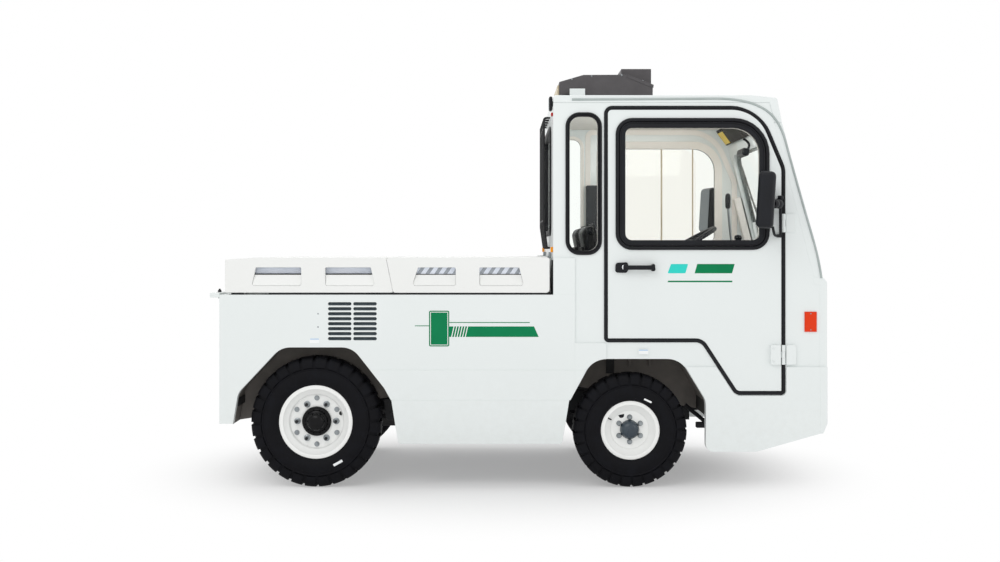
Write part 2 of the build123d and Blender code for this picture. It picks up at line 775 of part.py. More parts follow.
windscreen_length = hypot(windscreen_foot_x - windscreen_top_x, header_z - belt_z)
windscreen_foot_rail = 110.0            # frame below the windscreen, along the slope
windscreen_top_rail = 69.0
windscreen_side = 90.0                  # frame beside the windscreen
windscreen_corner = 90.0
rear_window_foot_z = 1320.0
rear_window_top_z = cab_top_z - 146.0
rear_window_side = 210.0
rear_window_corner = 70.0


def cab_rear_wall():
    """Rear wall from the rails to the roof, with the rear window cut."""
    panel = block((cab_rear_x, cab_rear_x + wall), (-cab_inner_y, cab_inner_y), (rail_top_z, roof_under_z))
    return panel - rear_window_prism(cab_rear_x - 1, wall + 2, 0)


def rear_window_prism(x, depth, inset):
    """Rounded block through the rear wall."""
    width = 2 * (cab_inner_y - rear_window_side - inset)
    height = rear_window_top_z - rear_window_foot_z - 2 * inset
    middle = (x, 0, (rear_window_top_z + rear_window_foot_z) / 2)
    shape = RectangleRounded(width, height, rear_window_corner - inset)
    return extrude(Plane(origin=middle, x_dir=(0, 1, 0), z_dir=(1, 0, 0)) * shape, amount=depth)


def windscreen_prism(back, depth, inset):
    """Rounded block through the windscreen frame, from a distance behind its outside face."""
    width = 2 * (cab_half_width - windscreen_side - inset)
    height = windscreen_length - windscreen_foot_rail - windscreen_top_rail
    lean = Vector(windscreen_top_x - windscreen_foot_x, 0, header_z - belt_z) * (1 / windscreen_length)
    normal = Vector(lean.Z, 0, -lean.X)
    middle = Vector(windscreen_foot_x, 0, belt_z) + lean * (windscreen_foot_rail + height / 2)
    shape = RectangleRounded(width, height - 2 * inset, windscreen_corner - inset)
    return extrude(Plane(origin=middle - normal * back, x_dir=(0, 1, 0), z_dir=normal) * shape, amount=depth)


def windscreen_frame():
    """Leaning frame between the front panel and the roof."""
    frame = slab(
        [
            (windscreen_foot_x - wall, belt_z, 0),
            (windscreen_foot_x, belt_z, 0),
            (windscreen_top_x, header_z, 0),
            (windscreen_top_x - wall, header_z, 0),
        ],
        -cab_half_width,
        cab_half_width,
    )
    return frame - windscreen_prism(wall + 5, wall + 10, 0)


def front_panel():
    """Nose panel with an inward lip that carries the windscreen frame, and two lamp holes."""
    outline = [
        (nose_x - wall, 283, 0),
        (nose_x - wall, belt_z - wall, 0),
        (windscreen_foot_x - wall, belt_z - wall, 0),
        (windscreen_foot_x - wall, belt_z, 0),
        (windscreen_foot_x + 8, belt_z, 6),
        (nose_x - 2, belt_z - 26, 16),
        (nose_x - 2, 336, 20),
        (nose_x - 24, 283, 10),
    ]
    panel = slab(outline, -cab_half_width, cab_half_width)
    panel += slab(outline, -body_half_width, body_half_width) & block(
        (0, nose_x), (-body_half_width, body_half_width), (0, nose_skin_z)
    )
    for lamp in pair(lamp_block(nose_x - wall - 1, wall + 2, 0)):
        panel -= lamp
    return panel


lamp_size = (210.0, 144.0, 40.0)        # width, height, corner radius
lamp_y = cab_half_width - 170.0
lamp_z = 885.0


def lamp_block(x, depth, inset):
    """Rounded block of the left headlamp's outline."""
    width, height, radius = lamp_size
    shape = RectangleRounded(width - 2 * inset, height - 2 * inset, radius - inset)
    return extrude(Plane(origin=(x, lamp_y, lamp_z), x_dir=(0, 1, 0), z_dir=(1, 0, 0)) * shape, amount=depth)


def cab_roof():
    """Roof panel with a front edge that comes down to the windscreen."""
    pillar = windscreen_slope * (roof_under_z - header_z)
    outline = [
        (cab_rear_x, roof_under_z, 0),
        (cab_rear_x, cab_top_z, 14),
        (nose_x - 390, cab_top_z, 200),
        (nose_x - 259, cab_top_z - 14, 14),
        (windscreen_top_x, header_z, 0),
        (windscreen_top_x - wall, header_z, 0),
        (windscreen_top_x - wall - pillar, roof_under_z, 0),
    ]
    return slab(outline, -cab_half_width, cab_half_width)


def cab_floor():
    """Bent floor: footwell, riser behind it and seat platform, with wheelhouse walls below."""
    half_width = cab_inner_y - 10
    riser = front_axle_x + front_tyre_radius + 93
    rear = cab_rear_x + wall
    front = nose_x - wall
    floor = slab(
        [
            (rear, platform_z - floor_thickness, 0),
            (riser, platform_z - floor_thickness, 0),
            (riser, rail_top_z, 0),
            (front, rail_top_z, 0),
            (front, rail_top_z + floor_thickness, 0),
            (riser + floor_thickness, rail_top_z + floor_thickness, 0),
            (riser + floor_thickness, platform_z, 0),
            (rear, platform_z, 0),
        ],
        -half_width,
        half_width,
    )
    wheelhouse = block(
        (riser, riser + floor_thickness),
        (rail_outer_y + 10, half_width),
        (sill_z + 20, rail_top_z + 1),
    )
    return floor + wheelhouse + mirrored(wheelhouse)


def dashboard():
    """Dashboard across the cab, with a wing to each cab side."""
    rear = nose_x - 350
    outline = [
        (rear, 980, 20),
        (rear, 1140, 30),
        (rear + 60, 1190, 30),
        (nose_x - 110, 1190, 12),
        (nose_x - 110, 980, 12),
    ]
    board = slab(outline, -cab_inner_y + 20, cab_inner_y - 20)
    wing = block((nose_x - 200, nose_x - 130), (-cab_inner_y, cab_inner_y), (1000, 1150))
    return board + wing


seat_frame_size = (400.0, 420.0)        # length, width
cushion_z = platform_z + 135.0
cushion_thickness = 110.0
seat_rear_x = front_axle_x - 170.0
seat_back_height = 360.0
seat_back_foot_z = cushion_z + 140.0
back_lean = 12.0


def seat_frames():
    """Two seat pedestals with the frames of their backrests."""
    length, width = seat_frame_size
    frames = []
    for y in (-seat_y, seat_y):
        base = block((seat_rear_x, seat_rear_x + length), (y - width / 2, y + width / 2), (platform_z, cushion_z))
        stay = block((seat_rear_x - 20, seat_rear_x), (y - 120, y + 120), (cushion_z - 60, seat_back_foot_z))
        back = Pos(seat_rear_x - 10, y, seat_back_foot_z) * Rot(0, -back_lean, 0)
        frames.append(base + stay + back * Pos(0, 0, 120) * Box(20, 300, 240))
    return frames


def seat_pads():
    """Two seat cushions and two backrest pads."""
    length, width = seat_frame_size
    pads = []
    for y in (-seat_y, seat_y):
        cushion = block(
            (seat_rear_x + 50, seat_rear_x + length + 50),
            (y - width / 2 - 20, y + width / 2 + 20),
            (cushion_z, cushion_z + cushion_thickness),
        )
        pads.append(fillet(cushion.edges().filter_by(Axis.Z), 40))
        back = Pos(seat_rear_x - 10, y, seat_back_foot_z) * Rot(0, -back_lean, 0)
        pad = back * Pos(50, 0, seat_back_height / 2) * Box(80, width, seat_back_height)
        pads.append(fillet(pad.edges().filter_by(Axis.Y, reverse=True).filter_by(lambda e: e.length < 90), 30))
    return pads


wheel_tilt = 29.0                       # steering wheel's plane from level
wheel_centre = (front_axle_x + 442.0, seat_y, 1268.0)
column_radius = 26.0
shaft_radius = 11.0


def column_point(distance):
    """Point on the steering column, a distance below the wheel's plane."""
    x, y, z = wheel_centre
    return (x + distance * sin(radians(wheel_tilt)), y, z - distance * cos(radians(wheel_tilt)))


def steering_column():
    """Column tube from the floor to under the wheel, with the bare shaft end above it."""
    floor_z = rail_top_z + floor_thickness
    reach = (wheel_centre[2] - floor_z) / cos(radians(wheel_tilt))
    column = round_bar(column_point(75), column_point(reach + 60), column_radius)
    column += round_bar(column_point(9), column_point(80), shaft_radius)
    foot_x, foot_y = column_point(reach)[:2]
    column -= block((foot_x - 200, foot_x + 200), (foot_y - 200, foot_y + 200), (floor_z - 200, floor_z))
    return column + block((foot_x - 70, foot_x + 60), (foot_y - 60, foot_y + 60), (floor_z, floor_z + 12))


def steering_wheel():
    """Rim, three spokes and hub."""
    plane = Plane(
        origin=wheel_centre,
        x_dir=(cos(radians(wheel_tilt)), 0, sin(radians(wheel_tilt))),
        z_dir=(-sin(radians(wheel_tilt)), 0, cos(radians(wheel_tilt))),
    )
    wheel = Torus(steering_wheel_radius, 14)
    hub = Pos(0, 0, -22) * Cylinder(34, 50, align=(Align.CENTER, Align.CENTER, Align.MIN))
    hub -= Pos(0, 0, -23) * Cylinder(shaft_radius + pin_gap, 36, align=(Align.CENTER, Align.CENTER, Align.MIN))
    wheel += Pos(0, 0, -20) * hub
    for angle in (90, 210, 330):
        spoke = Pos(steering_wheel_radius / 2 + 14, 0, -6) * Rot(0, -4, 0) * Box(steering_wheel_radius - 28, 30, 9)
        wheel += Rot(0, 0, angle) * spoke
    return plane * wheel


def pedals():
    """Brake and accelerator hanging from the dashboard."""
    solids = []
    # Columns: y, pad width, pad height.
    for y, width, height in ((seat_y - 90, 70, 60), (seat_y - 200, 50, 110)):
        x = nose_x - 190
        arm = block((x, x + 14), (y - 8, y + 8), (600, 980))
        solids.append(arm + block((x - 14, x + 1), (y - width / 2, y + width / 2), (590, 590 + height)))
    return solids


def cab_windows():
    """Windscreen, rear window and the two quarter panes."""
    depth = (wall + glass_thickness) / 2
    screen = windscreen_prism(depth, glass_thickness, seat_gap)
    rear = rear_window_prism(cab_rear_x + depth - glass_thickness, glass_thickness, seat_gap)
    return [screen, rear] + pair(pane(quarter_window))


def pane(outline):
    """Left side pane in the middle of the wall, a hair smaller than its opening."""
    face = offset(outline_face(outline), amount=-seat_gap)
    inner = cab_half_width - (wall + glass_thickness) / 2
    return extrude(Pos(0, inner, 0) * face, amount=glass_thickness, dir=(0, 1, 0))


# ---------------------------------------------------------------- doors
# Columns: foot z, top z.
door_hinges = [(639.0, 739.0), (cab_top_z - 707.0, cab_top_z - 612.0)]
hinge_x = door_front_x
hinge_y = cab_half_width + 11.0
hinge_plate = 6.0


def knuckle_barrel(low, high):
    """Hinge knuckle on the door's axis."""
    return round_bar((hinge_x, hinge_y, low), (hinge_x, hinge_y, high), hinge_knuckle_radius)


def door_leaf():
    """Left door with its window opening and the moving halves of its hinges."""
    face = Pos(0, cab_inner_y, 0) * door_face(-door_gap / 2)
    leaf = extrude(face, amount=wall, dir=(0, 1, 0))
    leaf -= slab(door_window, cab_inner_y - 1, cab_half_width + 1)
    for low, high in door_hinges:
        third = (high - low) / 3
        inner = (low + third + 0.5, high - third - 0.5)
        strap_y = (cab_half_width, cab_half_width + hinge_plate)
        leaf += block((hinge_x - 68, hinge_x - 11), strap_y, (low, high))
        leaf += block((hinge_x - 12, hinge_x), strap_y, inner)
        leaf += knuckle_barrel(*inner)
        leaf -= round_bar((hinge_x, hinge_y, low), (hinge_x, hinge_y, high), hinge_pin_radius + pin_gap)
    return leaf


def hinge_brackets():
    """Fixed halves of the four door hinges, each with its pin."""
    solids = []
    for low, high in door_hinges:
        third = (high - low) / 3
        plate_y = (cab_half_width, cab_half_width + hinge_plate)
        bracket = block((hinge_x + 11, hinge_x + 64), plate_y, (low, high))
        bracket += round_bar((hinge_x, hinge_y, low), (hinge_x, hinge_y, high), hinge_pin_radius)
        for foot in (low, high - third):
            bracket += block((hinge_x, hinge_x + 12), plate_y, (foot, foot + third))
            bracket += knuckle_barrel(foot, foot + third)
        solids += pair(bracket)
    return solids


def door_handle():
    """Left door's outside handle: square base and a bar."""
    x, z = door_rear_x + 45, 1137
    handle = block((x, x + 65), (cab_half_width, cab_half_width + 12), (z - 27, z + 27))
    handle += block((x + 40, x + 202), (cab_half_width + 30, cab_half_width + 46), (z - 11, z + 11))
    handle += block((x + 40, x + 62), (cab_half_width + 11, cab_half_width + 46), (z - 14, z + 14))
    return handle + block((x + 184, x + 202), (cab_half_width, cab_half_width + 46), (z - 15, z + 15))


mirror_size = (95.0, 180.0, 286.0)      # depth along x, width along y, height
mirror_middle = (door_front_x - 113.0, cab_half_width + 152.0, cab_top_z - 547.0)
mirror_turn = 12.0                      # glass turned in towards the driver
mirror_lean = 3.4                       # top of the head leans forward


def door_mirror():
    """Left mirror: head, ball clamp and the arm that stands on the door."""
    x, y, z = mirror_middle
    depth, width, height = mirror_size
    head = fillet(Box(depth, width, height).edges().filter_by(Axis.Y), 24)
    head = Pos(x, y, z) * Rot(0, mirror_lean, mirror_turn) * head
    arm_x = hinge_x - 21
    arm_foot, arm_top = z - 188, z + 16
    arm = round_bar((arm_x, cab_half_width + 36, arm_foot), (arm_x, cab_half_width + 36, arm_top), 8)
    for low in (arm_foot, arm_top - 18):
        arm += block((arm_x - 14, arm_x + 8), (cab_half_width, cab_half_width + 42), (low, low + 18))
    clamp_z = z - 8
    clamp = round_bar((arm_x, cab_half_width + 36, clamp_z), (x + 30, y - width / 4, clamp_z), 18)
    return head + arm + clamp


# ---------------------------------------------------------------- roof unit, guard and lamps
roof_unit_half_width = 400.0


def roof_unit():
    """Sheet-metal housing of the roof unit with its raised rear box."""
    outline = [
        (front_axle_x - 354, cab_top_z, 0),
        (front_axle_x - 354, cab_top_z + 110, 0),
        (front_axle_x - 223, cab_top_z + 148, 0),
        (front_axle_x + 17, cab_top_z + 149, 0),
        (front_axle_x + 152, cab_top_z + 96, 0),
        (front_axle_x + 150, cab_top_z, 0),
    ]
    unit = slab(outline, -roof_unit_half_width, roof_unit_half_width)
    raised = block(
        (front_axle_x - 14, front_axle_x + 149),
        (-roof_unit_half_width + 60, roof_unit_half_width - 60),
        (cab_top_z + 1, cab_top_z + 188),
    )
    return unit + raised


def roof_brackets():
    """Brackets that hold the roof unit down, one on each side."""
    x = front_axle_x - 299
    y = (roof_unit_half_width, roof_unit_half_width + 40)
    return pair(block((x, x + 82), y, (cab_top_z, cab_top_z + 69)))


guard_bar_radius = 6.0
guard_top_z = cab_top_z - 73.0
guard_foot_z = cover_top_z + 50.0
guard_reach = 33.0
guard_bars = 5
guard_spacing = 140.0


def window_guard():
    """Bars over the rear window, bowed away from the wall, with two cross ties."""
    out = cab_rear_x - guard_reach
    bars = None
    for index in range(guard_bars):
        y = (index - (guard_bars - 1) / 2) * guard_spacing
        path = FilletPolyline(
            (cab_rear_x, y, guard_top_z),
            (out, y, guard_top_z),
            (out, y, guard_foot_z + 120),
            (cab_rear_x - 16, y, guard_foot_z),
            (cab_rear_x, y, guard_foot_z),
            radius=[14, 30, 9],
        )
        section = Plane(origin=path @ 0, z_dir=path % 0) * Circle(guard_bar_radius)
        bar = sweep(section, path=path)
        bars = bar if bars is None else bars + bar
    reach = guard_spacing * (guard_bars - 1) / 2
    for z in (guard_top_z - 55, guard_foot_z + 150):
        bars += round_bar((out, -reach, z), (out, reach, z), guard_bar_radius - 1)
    return bars


def headlamps():
    """Headlamp blocks in the front panel's holes."""
    return pair(lamp_block(nose_x - wall, wall, seat_gap))


def rear_lamps():
    """Rear lamp clusters on the rear wall."""
    y = body_half_width - 80
    return pair(block((body_rear_x - 14, body_rear_x), (y - 140, y), (deck_z - 198, deck_z - 118)))


def side_reflectors():
    """Reflectors low on the cab sides, behind the nose."""
    x = nose_x - 119
    return pair(block((x, x + 62), (cab_half_width, cab_half_width + 6), (807, 910)))


# ---------------------------------------------------------------- sub-parts
parts = {
    "chassis_frame": chassis_frame(),
    "front_axle": front_axle(),
    "rear_axle": rear_axle(),
    "leaf_springs": leaf_springs(),
    "drive_motor": drive_motor(),
    "battery_pack": battery_pack(),
    "body_sides": pair(body_side()),
    "skirts": pair(skirt()),
    "rear_panel": rear_panel(),
    "rear_ledge": rear_ledge(),
    "load_deck": load_deck(),
    "rear_cover": rear_cover(),
    "battery_cover": battery_cover(),
    "cover_hinges": cover_hinges(),
    "cover_buffers": cover_buffers(),
    "tow_hitch": tow_hitch(),
    "tow_pin": tow_pin(),
    "cab_sides": pair(cab_side()),
    "cab_rear_wall": cab_rear_wall(),
    "cab_roof": cab_roof(),
    "windscreen_frame": windscreen_frame(),
    "front_panel": front_panel(),
    "cab_floor": cab_floor(),
    "dashboard": dashboard(),
    "seat_frames": seat_frames(),
    "seat_pads": seat_pads(),
    "steering_column": steering_column(),
    "steering_wheel": steering_wheel(),
    "pedals": pedals(),
    "cab_windows": cab_windows(),
    "hinge_brackets": hinge_brackets(),
    "roof_unit": roof_unit(),
    "roof_brackets": roof_brackets(),
    "window_guard": window_guard(),
    "headlamps": headlamps(),
    "rear_lamps": rear_lamps(),
    "side_reflectors": side_reflectors(),
    "tie_rod": tie_rod(),
}
for side in ("left", "right"):
    parts["knuckle_" + side] = on_side(knuckle(), side)
    parts["door_" + side] = on_side(door_leaf(), side)
    parts["door_glass_" + side] = on_side(pane(door_window), side)
    parts["door_handle_" + side] = on_side(door_handle(), side)
    parts["door_mirror_" + side] = on_side(door_mirror(), side)

# Wheels. Columns: name, x, y, z, tyre radius, tyre width, rim radius, hub radius, hub reach, spindle radius.
wheels = [
    (
        "front", front_axle_x, front_wheel_y, front_axle_z, front_tyre_radius, front_tyre_width,
        front_rim_radius, front_hub_radius, front_hub_reach, front_spindle_radius,
    ),
    (
        "rear", rear_axle_x, rear_wheel_y, rear_axle_z, rear_tyre_radius, rear_tyre_width,
        rear_rim_radius, rear_hub_radius, rear_hub_reach, rear_stub_radius,
    ),
]
for name, x, y, z, radius, width, rim_radius, hub_radius, hub_reach, spindle_radius in wheels:
    place = Pos(x, y, z)
    tyre_solid = place * tyre(radius, width, rim_radius)
    rim_solid = place * rim(width, rim_radius, hub_radius, hub_reach, spindle_radius)
    for side in ("left", "right"):
        parts["tyre_" + name + "_" + side] = on_side(tyre_solid, side)
        parts["rim_" + name + "_" + side] = on_side(rim_solid, side)

os.makedirs("parts", exist_ok=True)
for node, shape in parts.items():
    solids = []
    for piece in shape if isinstance(shape, list) else [shape]:
        solids += piece.solids()
    export_step(Compound(solids) if len(solids) > 1 else solids[0], "parts/" + node + ".step")
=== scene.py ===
"""Airport baggage tug: looks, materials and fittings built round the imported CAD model.

Metres, in the CAD frame: +X forward, +Y left, +Z up, ground at z = 0. Tables are in millimetres.
"""

import json
import math

import bmesh
import bpy
from mathutils import Matrix, Vector


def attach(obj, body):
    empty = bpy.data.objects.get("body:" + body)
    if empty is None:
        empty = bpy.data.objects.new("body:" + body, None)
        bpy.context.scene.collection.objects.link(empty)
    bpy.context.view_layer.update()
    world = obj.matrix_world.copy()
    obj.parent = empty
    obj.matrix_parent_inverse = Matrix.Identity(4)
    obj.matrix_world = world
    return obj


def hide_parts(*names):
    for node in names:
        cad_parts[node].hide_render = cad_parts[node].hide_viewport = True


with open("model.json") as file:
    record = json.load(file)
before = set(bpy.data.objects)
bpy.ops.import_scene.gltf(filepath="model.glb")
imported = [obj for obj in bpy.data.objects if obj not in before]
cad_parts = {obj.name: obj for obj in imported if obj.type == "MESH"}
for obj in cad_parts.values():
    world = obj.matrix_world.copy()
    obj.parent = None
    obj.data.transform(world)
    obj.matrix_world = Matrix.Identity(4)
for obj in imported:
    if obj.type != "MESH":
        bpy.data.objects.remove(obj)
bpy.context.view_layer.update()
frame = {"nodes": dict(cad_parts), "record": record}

MM = 0.001
TO_MM = 1000
RIGHT, LEFT = -1, 1
SIDES = {"right": RIGHT, "left": LEFT}
record = frame["record"]
SLOT_OF_NODE = {row["node"]: row["material_slot"] for row in record["subparts"]}
BODY_OF_NODE = {
    node: body for body, nodes in record["behaviour"]["bodies"].items() for node in nodes
}


# ---------------------------------------------------------------- mesh helpers
def on(x, y, z):
    """Shift in millimetres."""
    return Matrix.Translation(Vector((x, y, z)) * MM)


def turned(degrees, axis):
    """Turn about an axis through the origin."""
    return Matrix.Rotation(math.radians(degrees), 4, axis)


def moved(bm, matrix):
    """The same bmesh, placed by a matrix."""
    bmesh.ops.transform(bm, matrix=matrix, verts=bm.verts)
    return bm


def joined(parts):
    """One bmesh from several."""
    whole = bmesh.new()
    for bm in parts:
        mesh = bpy.data.meshes.new("part")
        bm.to_mesh(mesh)
        bm.free()
        whole.from_mesh(mesh)
        bpy.data.meshes.remove(mesh)
    return whole


def copies(build, places):
    """One bmesh with a copy of a small part at each place."""
    return joined([moved(build(), on(*place)) for place in places])


def outline(bm, rows, steps=6):
    """Flat face at y = 0 on rows of (x, z, corner radius)."""
    corners = [bm.verts.new((x * MM, 0, z * MM)) for x, z, radius in rows]
    bm.faces.new(corners)
    for i, (vert, (x, z, radius)) in enumerate(zip(corners, rows)):
        if radius:
            here = Vector((x, z))
            back = Vector(rows[i - 1][:2]) - here
            ahead = Vector(rows[(i + 1) % len(rows)][:2]) - here
            reach = radius * MM / math.tan(back.angle(ahead) / 2)
            bmesh.ops.bevel(
                bm, geom=[vert], offset=reach, offset_type="OFFSET", segments=steps,
                profile=0.5, affect="VERTICES", material=-1,
            )
    return bm.faces[:]


def thicken(bm, y_from, y_to):
    """Turns the open faces at y = 0 into a solid between two y values."""
    pulled = bmesh.ops.extrude_face_region(bm, geom=bm.faces[:])["geom"]
    verts = [g for g in pulled if isinstance(g, bmesh.types.BMVert)]
    bmesh.ops.translate(bm, verts=verts, vec=(0, (y_to - y_from) * MM, 0))
    bmesh.ops.translate(bm, verts=bm.verts, vec=(0, y_from * MM, 0))


def ease(bm, width, segments=2, angle=30):
    """Rounds the edges that turn by more than an angle."""
    edges = [e for e in bm.edges if e.is_manifold and e.calc_face_angle() > math.radians(angle)]
    bmesh.ops.bevel(
        bm, geom=edges, offset=width * MM, offset_type="OFFSET", segments=segments,
        profile=0.5, affect="EDGES", material=-1,
    )


def plate(rows, y_from, y_to, edge=0.0):
    """Solid on an x-z outline between two y values, with eased edges."""
    bm = bmesh.new()
    outline(bm, rows)
    thicken(bm, y_from, y_to)
    if edge:
        ease(bm, edge)
    return bm


def hoop(rows, width, y_from, y_to, edge=0.0):
    """Frame of one width just inside an x-z outline."""
    bm = bmesh.new()
    faces = outline(bm, rows, 8)
    bmesh.ops.inset_region(
        bm, faces=faces, thickness=width * MM, use_even_offset=True, use_boundary=True
    )
    bmesh.ops.delete(bm, geom=faces, context="FACES")
    thicken(bm, y_from, y_to)
    if edge:
        ease(bm, edge, 3, angle=60)
    return bm


def block(low, high, edge=0.0, segments=2):
    """Box between two corners, with eased edges."""
    bm = bmesh.new()
    middle = [(a + b) / 2 * MM for a, b in zip(low, high)]
    size = [abs(b - a) * MM for a, b in zip(low, high)]
    bmesh.ops.create_cube(
        bm, size=1, matrix=Matrix.Translation(middle) @ Matrix.Diagonal((*size, 1))
    )
    if edge:
        ease(bm, edge, segments)
    return bm


def lathe(rows, centre=(0, 0, 0), axis="Y", steps=48):
    """Solid turned from closed rows of (distance along the axis, radius)."""
    bm = bmesh.new()
    verts = [bm.verts.new((along * MM, 0, radius * MM)) for along, radius in rows]
    edges = [bm.edges.new((verts[i - 1], verts[i])) for i in range(len(verts))]
    bmesh.ops.spin(
        bm, geom=verts + edges, cent=(0, 0, 0), axis=(1, 0, 0), angle=2 * math.pi,
        steps=steps, use_merge=True,
    )
    bmesh.ops.remove_doubles(bm, verts=bm.verts, dist=1e-6)
    turn = {
        "X": Matrix.Identity(4), "Y": turned(90, "Z"), "-Y": turned(-90, "Z"),
        "Z": turned(-90, "Y"),
    }[axis]
    return moved(bm, on(*centre) @ turn)


def prism(sides, radius, depth, edge, centre=(0, 0, 0), axis="Y"):
    """Bar of a regular section with eased edges, standing on its centre point."""
    bm = bmesh.new()
    bmesh.ops.create_cone(
        bm, cap_ends=True, segments=sides, radius1=radius * MM, radius2=radius * MM,
        depth=depth * MM,
    )
    bmesh.ops.translate(bm, verts=bm.verts, vec=(0, 0, depth * MM / 2))
    ease(bm, edge)
    return moved(bm, on(*centre) @ {"Y": turned(-90, "X"), "Z": Matrix.Identity(4)}[axis])


def tube(points, radius, kind="POLY"):
    """Round bar along points, from a bevelled curve."""
    curve = bpy.data.curves.new("tube", "CURVE")
    curve.dimensions = "3D"
    curve.bevel_depth = radius * MM
    curve.bevel_resolution = 4
    curve.use_fill_caps = True
    spline = curve.splines.new(kind)
    spline.points.add(len(points) - 1)
    for point, place in zip(spline.points, points):
        point.co = (*(Vector(place) * MM), 1)
    if kind == "NURBS":
        spline.order_u = 3
        spline.use_endpoint_u = True
    holder = bpy.data.objects.new("tube", curve)
    mesh = bpy.data.meshes.new_from_object(holder)
    bm = bmesh.new()
    bm.from_mesh(mesh)
    bpy.data.objects.remove(holder)
    bpy.data.curves.remove(curve)
    bpy.data.meshes.remove(mesh)
    bmesh.ops.remove_doubles(bm, verts=bm.verts, dist=1e-6)
    return bm


def piece(name, bm, finish, body="tug", replaces=(), smooth=38, weighted=True, outward=True):
    """Finished object from a bmesh: closed, facing outwards, riding on its body."""
    bmesh.ops.remove_doubles(bm, verts=bm.verts, dist=1e-6)
    if outward:
        bmesh.ops.recalc_face_normals(bm, faces=bm.faces)
    for edge in bm.edges:
        edge.smooth = not edge.is_manifold or edge.calc_face_angle() < math.radians(smooth)
    for face in bm.faces:
        face.smooth = True
    mesh = bpy.data.meshes.new(name)
    bm.to_mesh(mesh)
    bm.free()
    obj = bpy.data.objects.new(name, mesh)
    bpy.context.scene.collection.objects.link(obj)
    mesh.materials.append(finish)
    if weighted:
        shade = obj.modifiers.new("Weighted normals", "WEIGHTED_NORMAL")
        shade.keep_sharp = True
    if replaces:
        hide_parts(*replaces)
    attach(obj, body)
    return obj


def twin(name, build, finish, body="tug", replaces=(), **more):
    """Left-hand piece and its right-hand twin, from one builder of the left one."""
    for side, sign in SIDES.items():
        bm = build()
        if sign == RIGHT:
            bmesh.ops.scale(bm, vec=(1, -1, 1), verts=bm.verts)
            bmesh.ops.reverse_faces(bm, faces=bm.faces)
        piece(
            name + "_" + side, bm, finish, body.format(side=side),
            replaces=[node.format(side=side) for node in replaces], **more,
        )


def merged(node):
    """Copy of a CAD node's mesh with its loose triangles joined into whole faces."""
    bm = bmesh.new()
    bm.from_mesh(frame["nodes"][node].data)
    bmesh.ops.remove_doubles(bm, verts=bm.verts, dist=2e-5)
    bmesh.ops.dissolve_degenerate(bm, edges=bm.edges, dist=1e-6)
    bmesh.ops.dissolve_limit(
        bm, angle_limit=math.radians(1.0), verts=bm.verts, edges=bm.edges, delimit=set()
    )
    return bm


# Nodes whose hanging sheet ends higher in the looks than in the plain solid: lowest z.
FOOT_OF_NODE = {"cab_floor": 374}


def softened(node, width):
    """CAD node's own shape with its sharp edges rounded, standing for the node."""
    bm = merged(node)
    if node in FOOT_OF_NODE:
        bmesh.ops.bisect_plane(
            bm, geom=bm.verts[:] + bm.edges[:] + bm.faces[:], clear_inner=True,
            plane_co=(0, 0, FOOT_OF_NODE[node] * MM), plane_no=(0, 0, 1),
        )
        bmesh.ops.holes_fill(bm, edges=[edge for edge in bm.edges if edge.is_boundary])
    ease(bm, width, 3, angle=32)
    piece(
        node + "_shell", bm, FINISH_OF_SLOT[SLOT_OF_NODE[node]], BODY_OF_NODE[node],
        replaces=[node], outward=False,
    )


def rect(x0, x1, z0, z1, radii=0, grow=0.0):
    """Rows of a rectangle from its lower rear corner round, grown or shrunk on all sides."""
    if not isinstance(radii, tuple):
        radii = (radii,) * 4
    x0, x1, z0, z1 = x0 - grow, x1 + grow, z0 - grow, z1 + grow
    ends = [(x0, z0), (x1, z0), (x1, z1), (x0, z1)]
    return [(x, z, radius + grow) for (x, z), radius in zip(ends, radii)]


def grown(rows, reach):
    """Rows of an outline moved out on all sides, each corner's radius with it."""
    area = sum(a[0] * b[1] - b[0] * a[1] for a, b in zip(rows, rows[1:] + rows[:1]))
    sense = math.copysign(1, area)
    out = []
    for i, (x, z, radius) in enumerate(rows):
        here = Vector((x, z))
        came = (here - Vector(rows[i - 1][:2])).normalized()
        goes = (Vector(rows[(i + 1) % len(rows)][:2]) - here).normalized()
        sides = [Vector((way.y, -way.x)) * sense for way in (came, goes)]
        place = here + (sides[0] + sides[1]) * reach / (1 + sides[0].dot(sides[1]))
        convex = (came.x * goes.y - came.y * goes.x) * sense > 0
        out.append((place.x, place.y, max(1, radius + (reach if convex else -reach))))
    return out


def screw(radius, height):
    """Round-headed screw with a hexagon socket."""
    return lathe([
        (0, 0), (0, radius), (height * 0.5, radius), (height, radius * 0.7),
        (height, radius * 0.45), (height * 0.4, radius * 0.45), (height * 0.4, 0),
    ], steps=12)


def hex_bolt(across, height, axis="Y", stud=0.0):
    """Hexagon head on its washer, with a stud end when it is a nut."""
    washer, thick = across * 0.68, height * 0.18
    parts = [
        lathe([(0, 0), (0, washer), (thick, washer), (thick, 0)], axis=axis, steps=20),
        prism(6, across * 0.56, height, across * 0.05, axis=axis),
    ]
    if stud:
        parts.append(prism(12, across * 0.28, height + stud, 0.6, axis=axis))
    return joined(parts)


# ---------------------------------------------------------------- materials
# Texture Scale that gives a feature of one millimetre on Object coordinates in metres.
PER_MM = 1000.0


def linear(text):
    """Linear colour of an sRGB hex value."""
    parts = [int(text[i : i + 2], 16) / 255 for i in (0, 2, 4)]
    rgb = [c / 12.92 if c <= 0.04045 else ((c + 0.055) / 1.055) ** 2.4 for c in parts]
    return (*rgb, 1.0)


def add(tree, kind, sockets=None, links=None, **settings):
    """Adds a node: its settings, values on its sockets, and links into its sockets."""
    made = tree.nodes.new("ShaderNode" + kind)
    for key, value in settings.items():
        setattr(made, key, value)
    for key, value in (sockets or {}).items():
        made.inputs[key].default_value = value
    for key, source in (links or {}).items():
        tree.links.new(source, made.inputs[key])
    return made


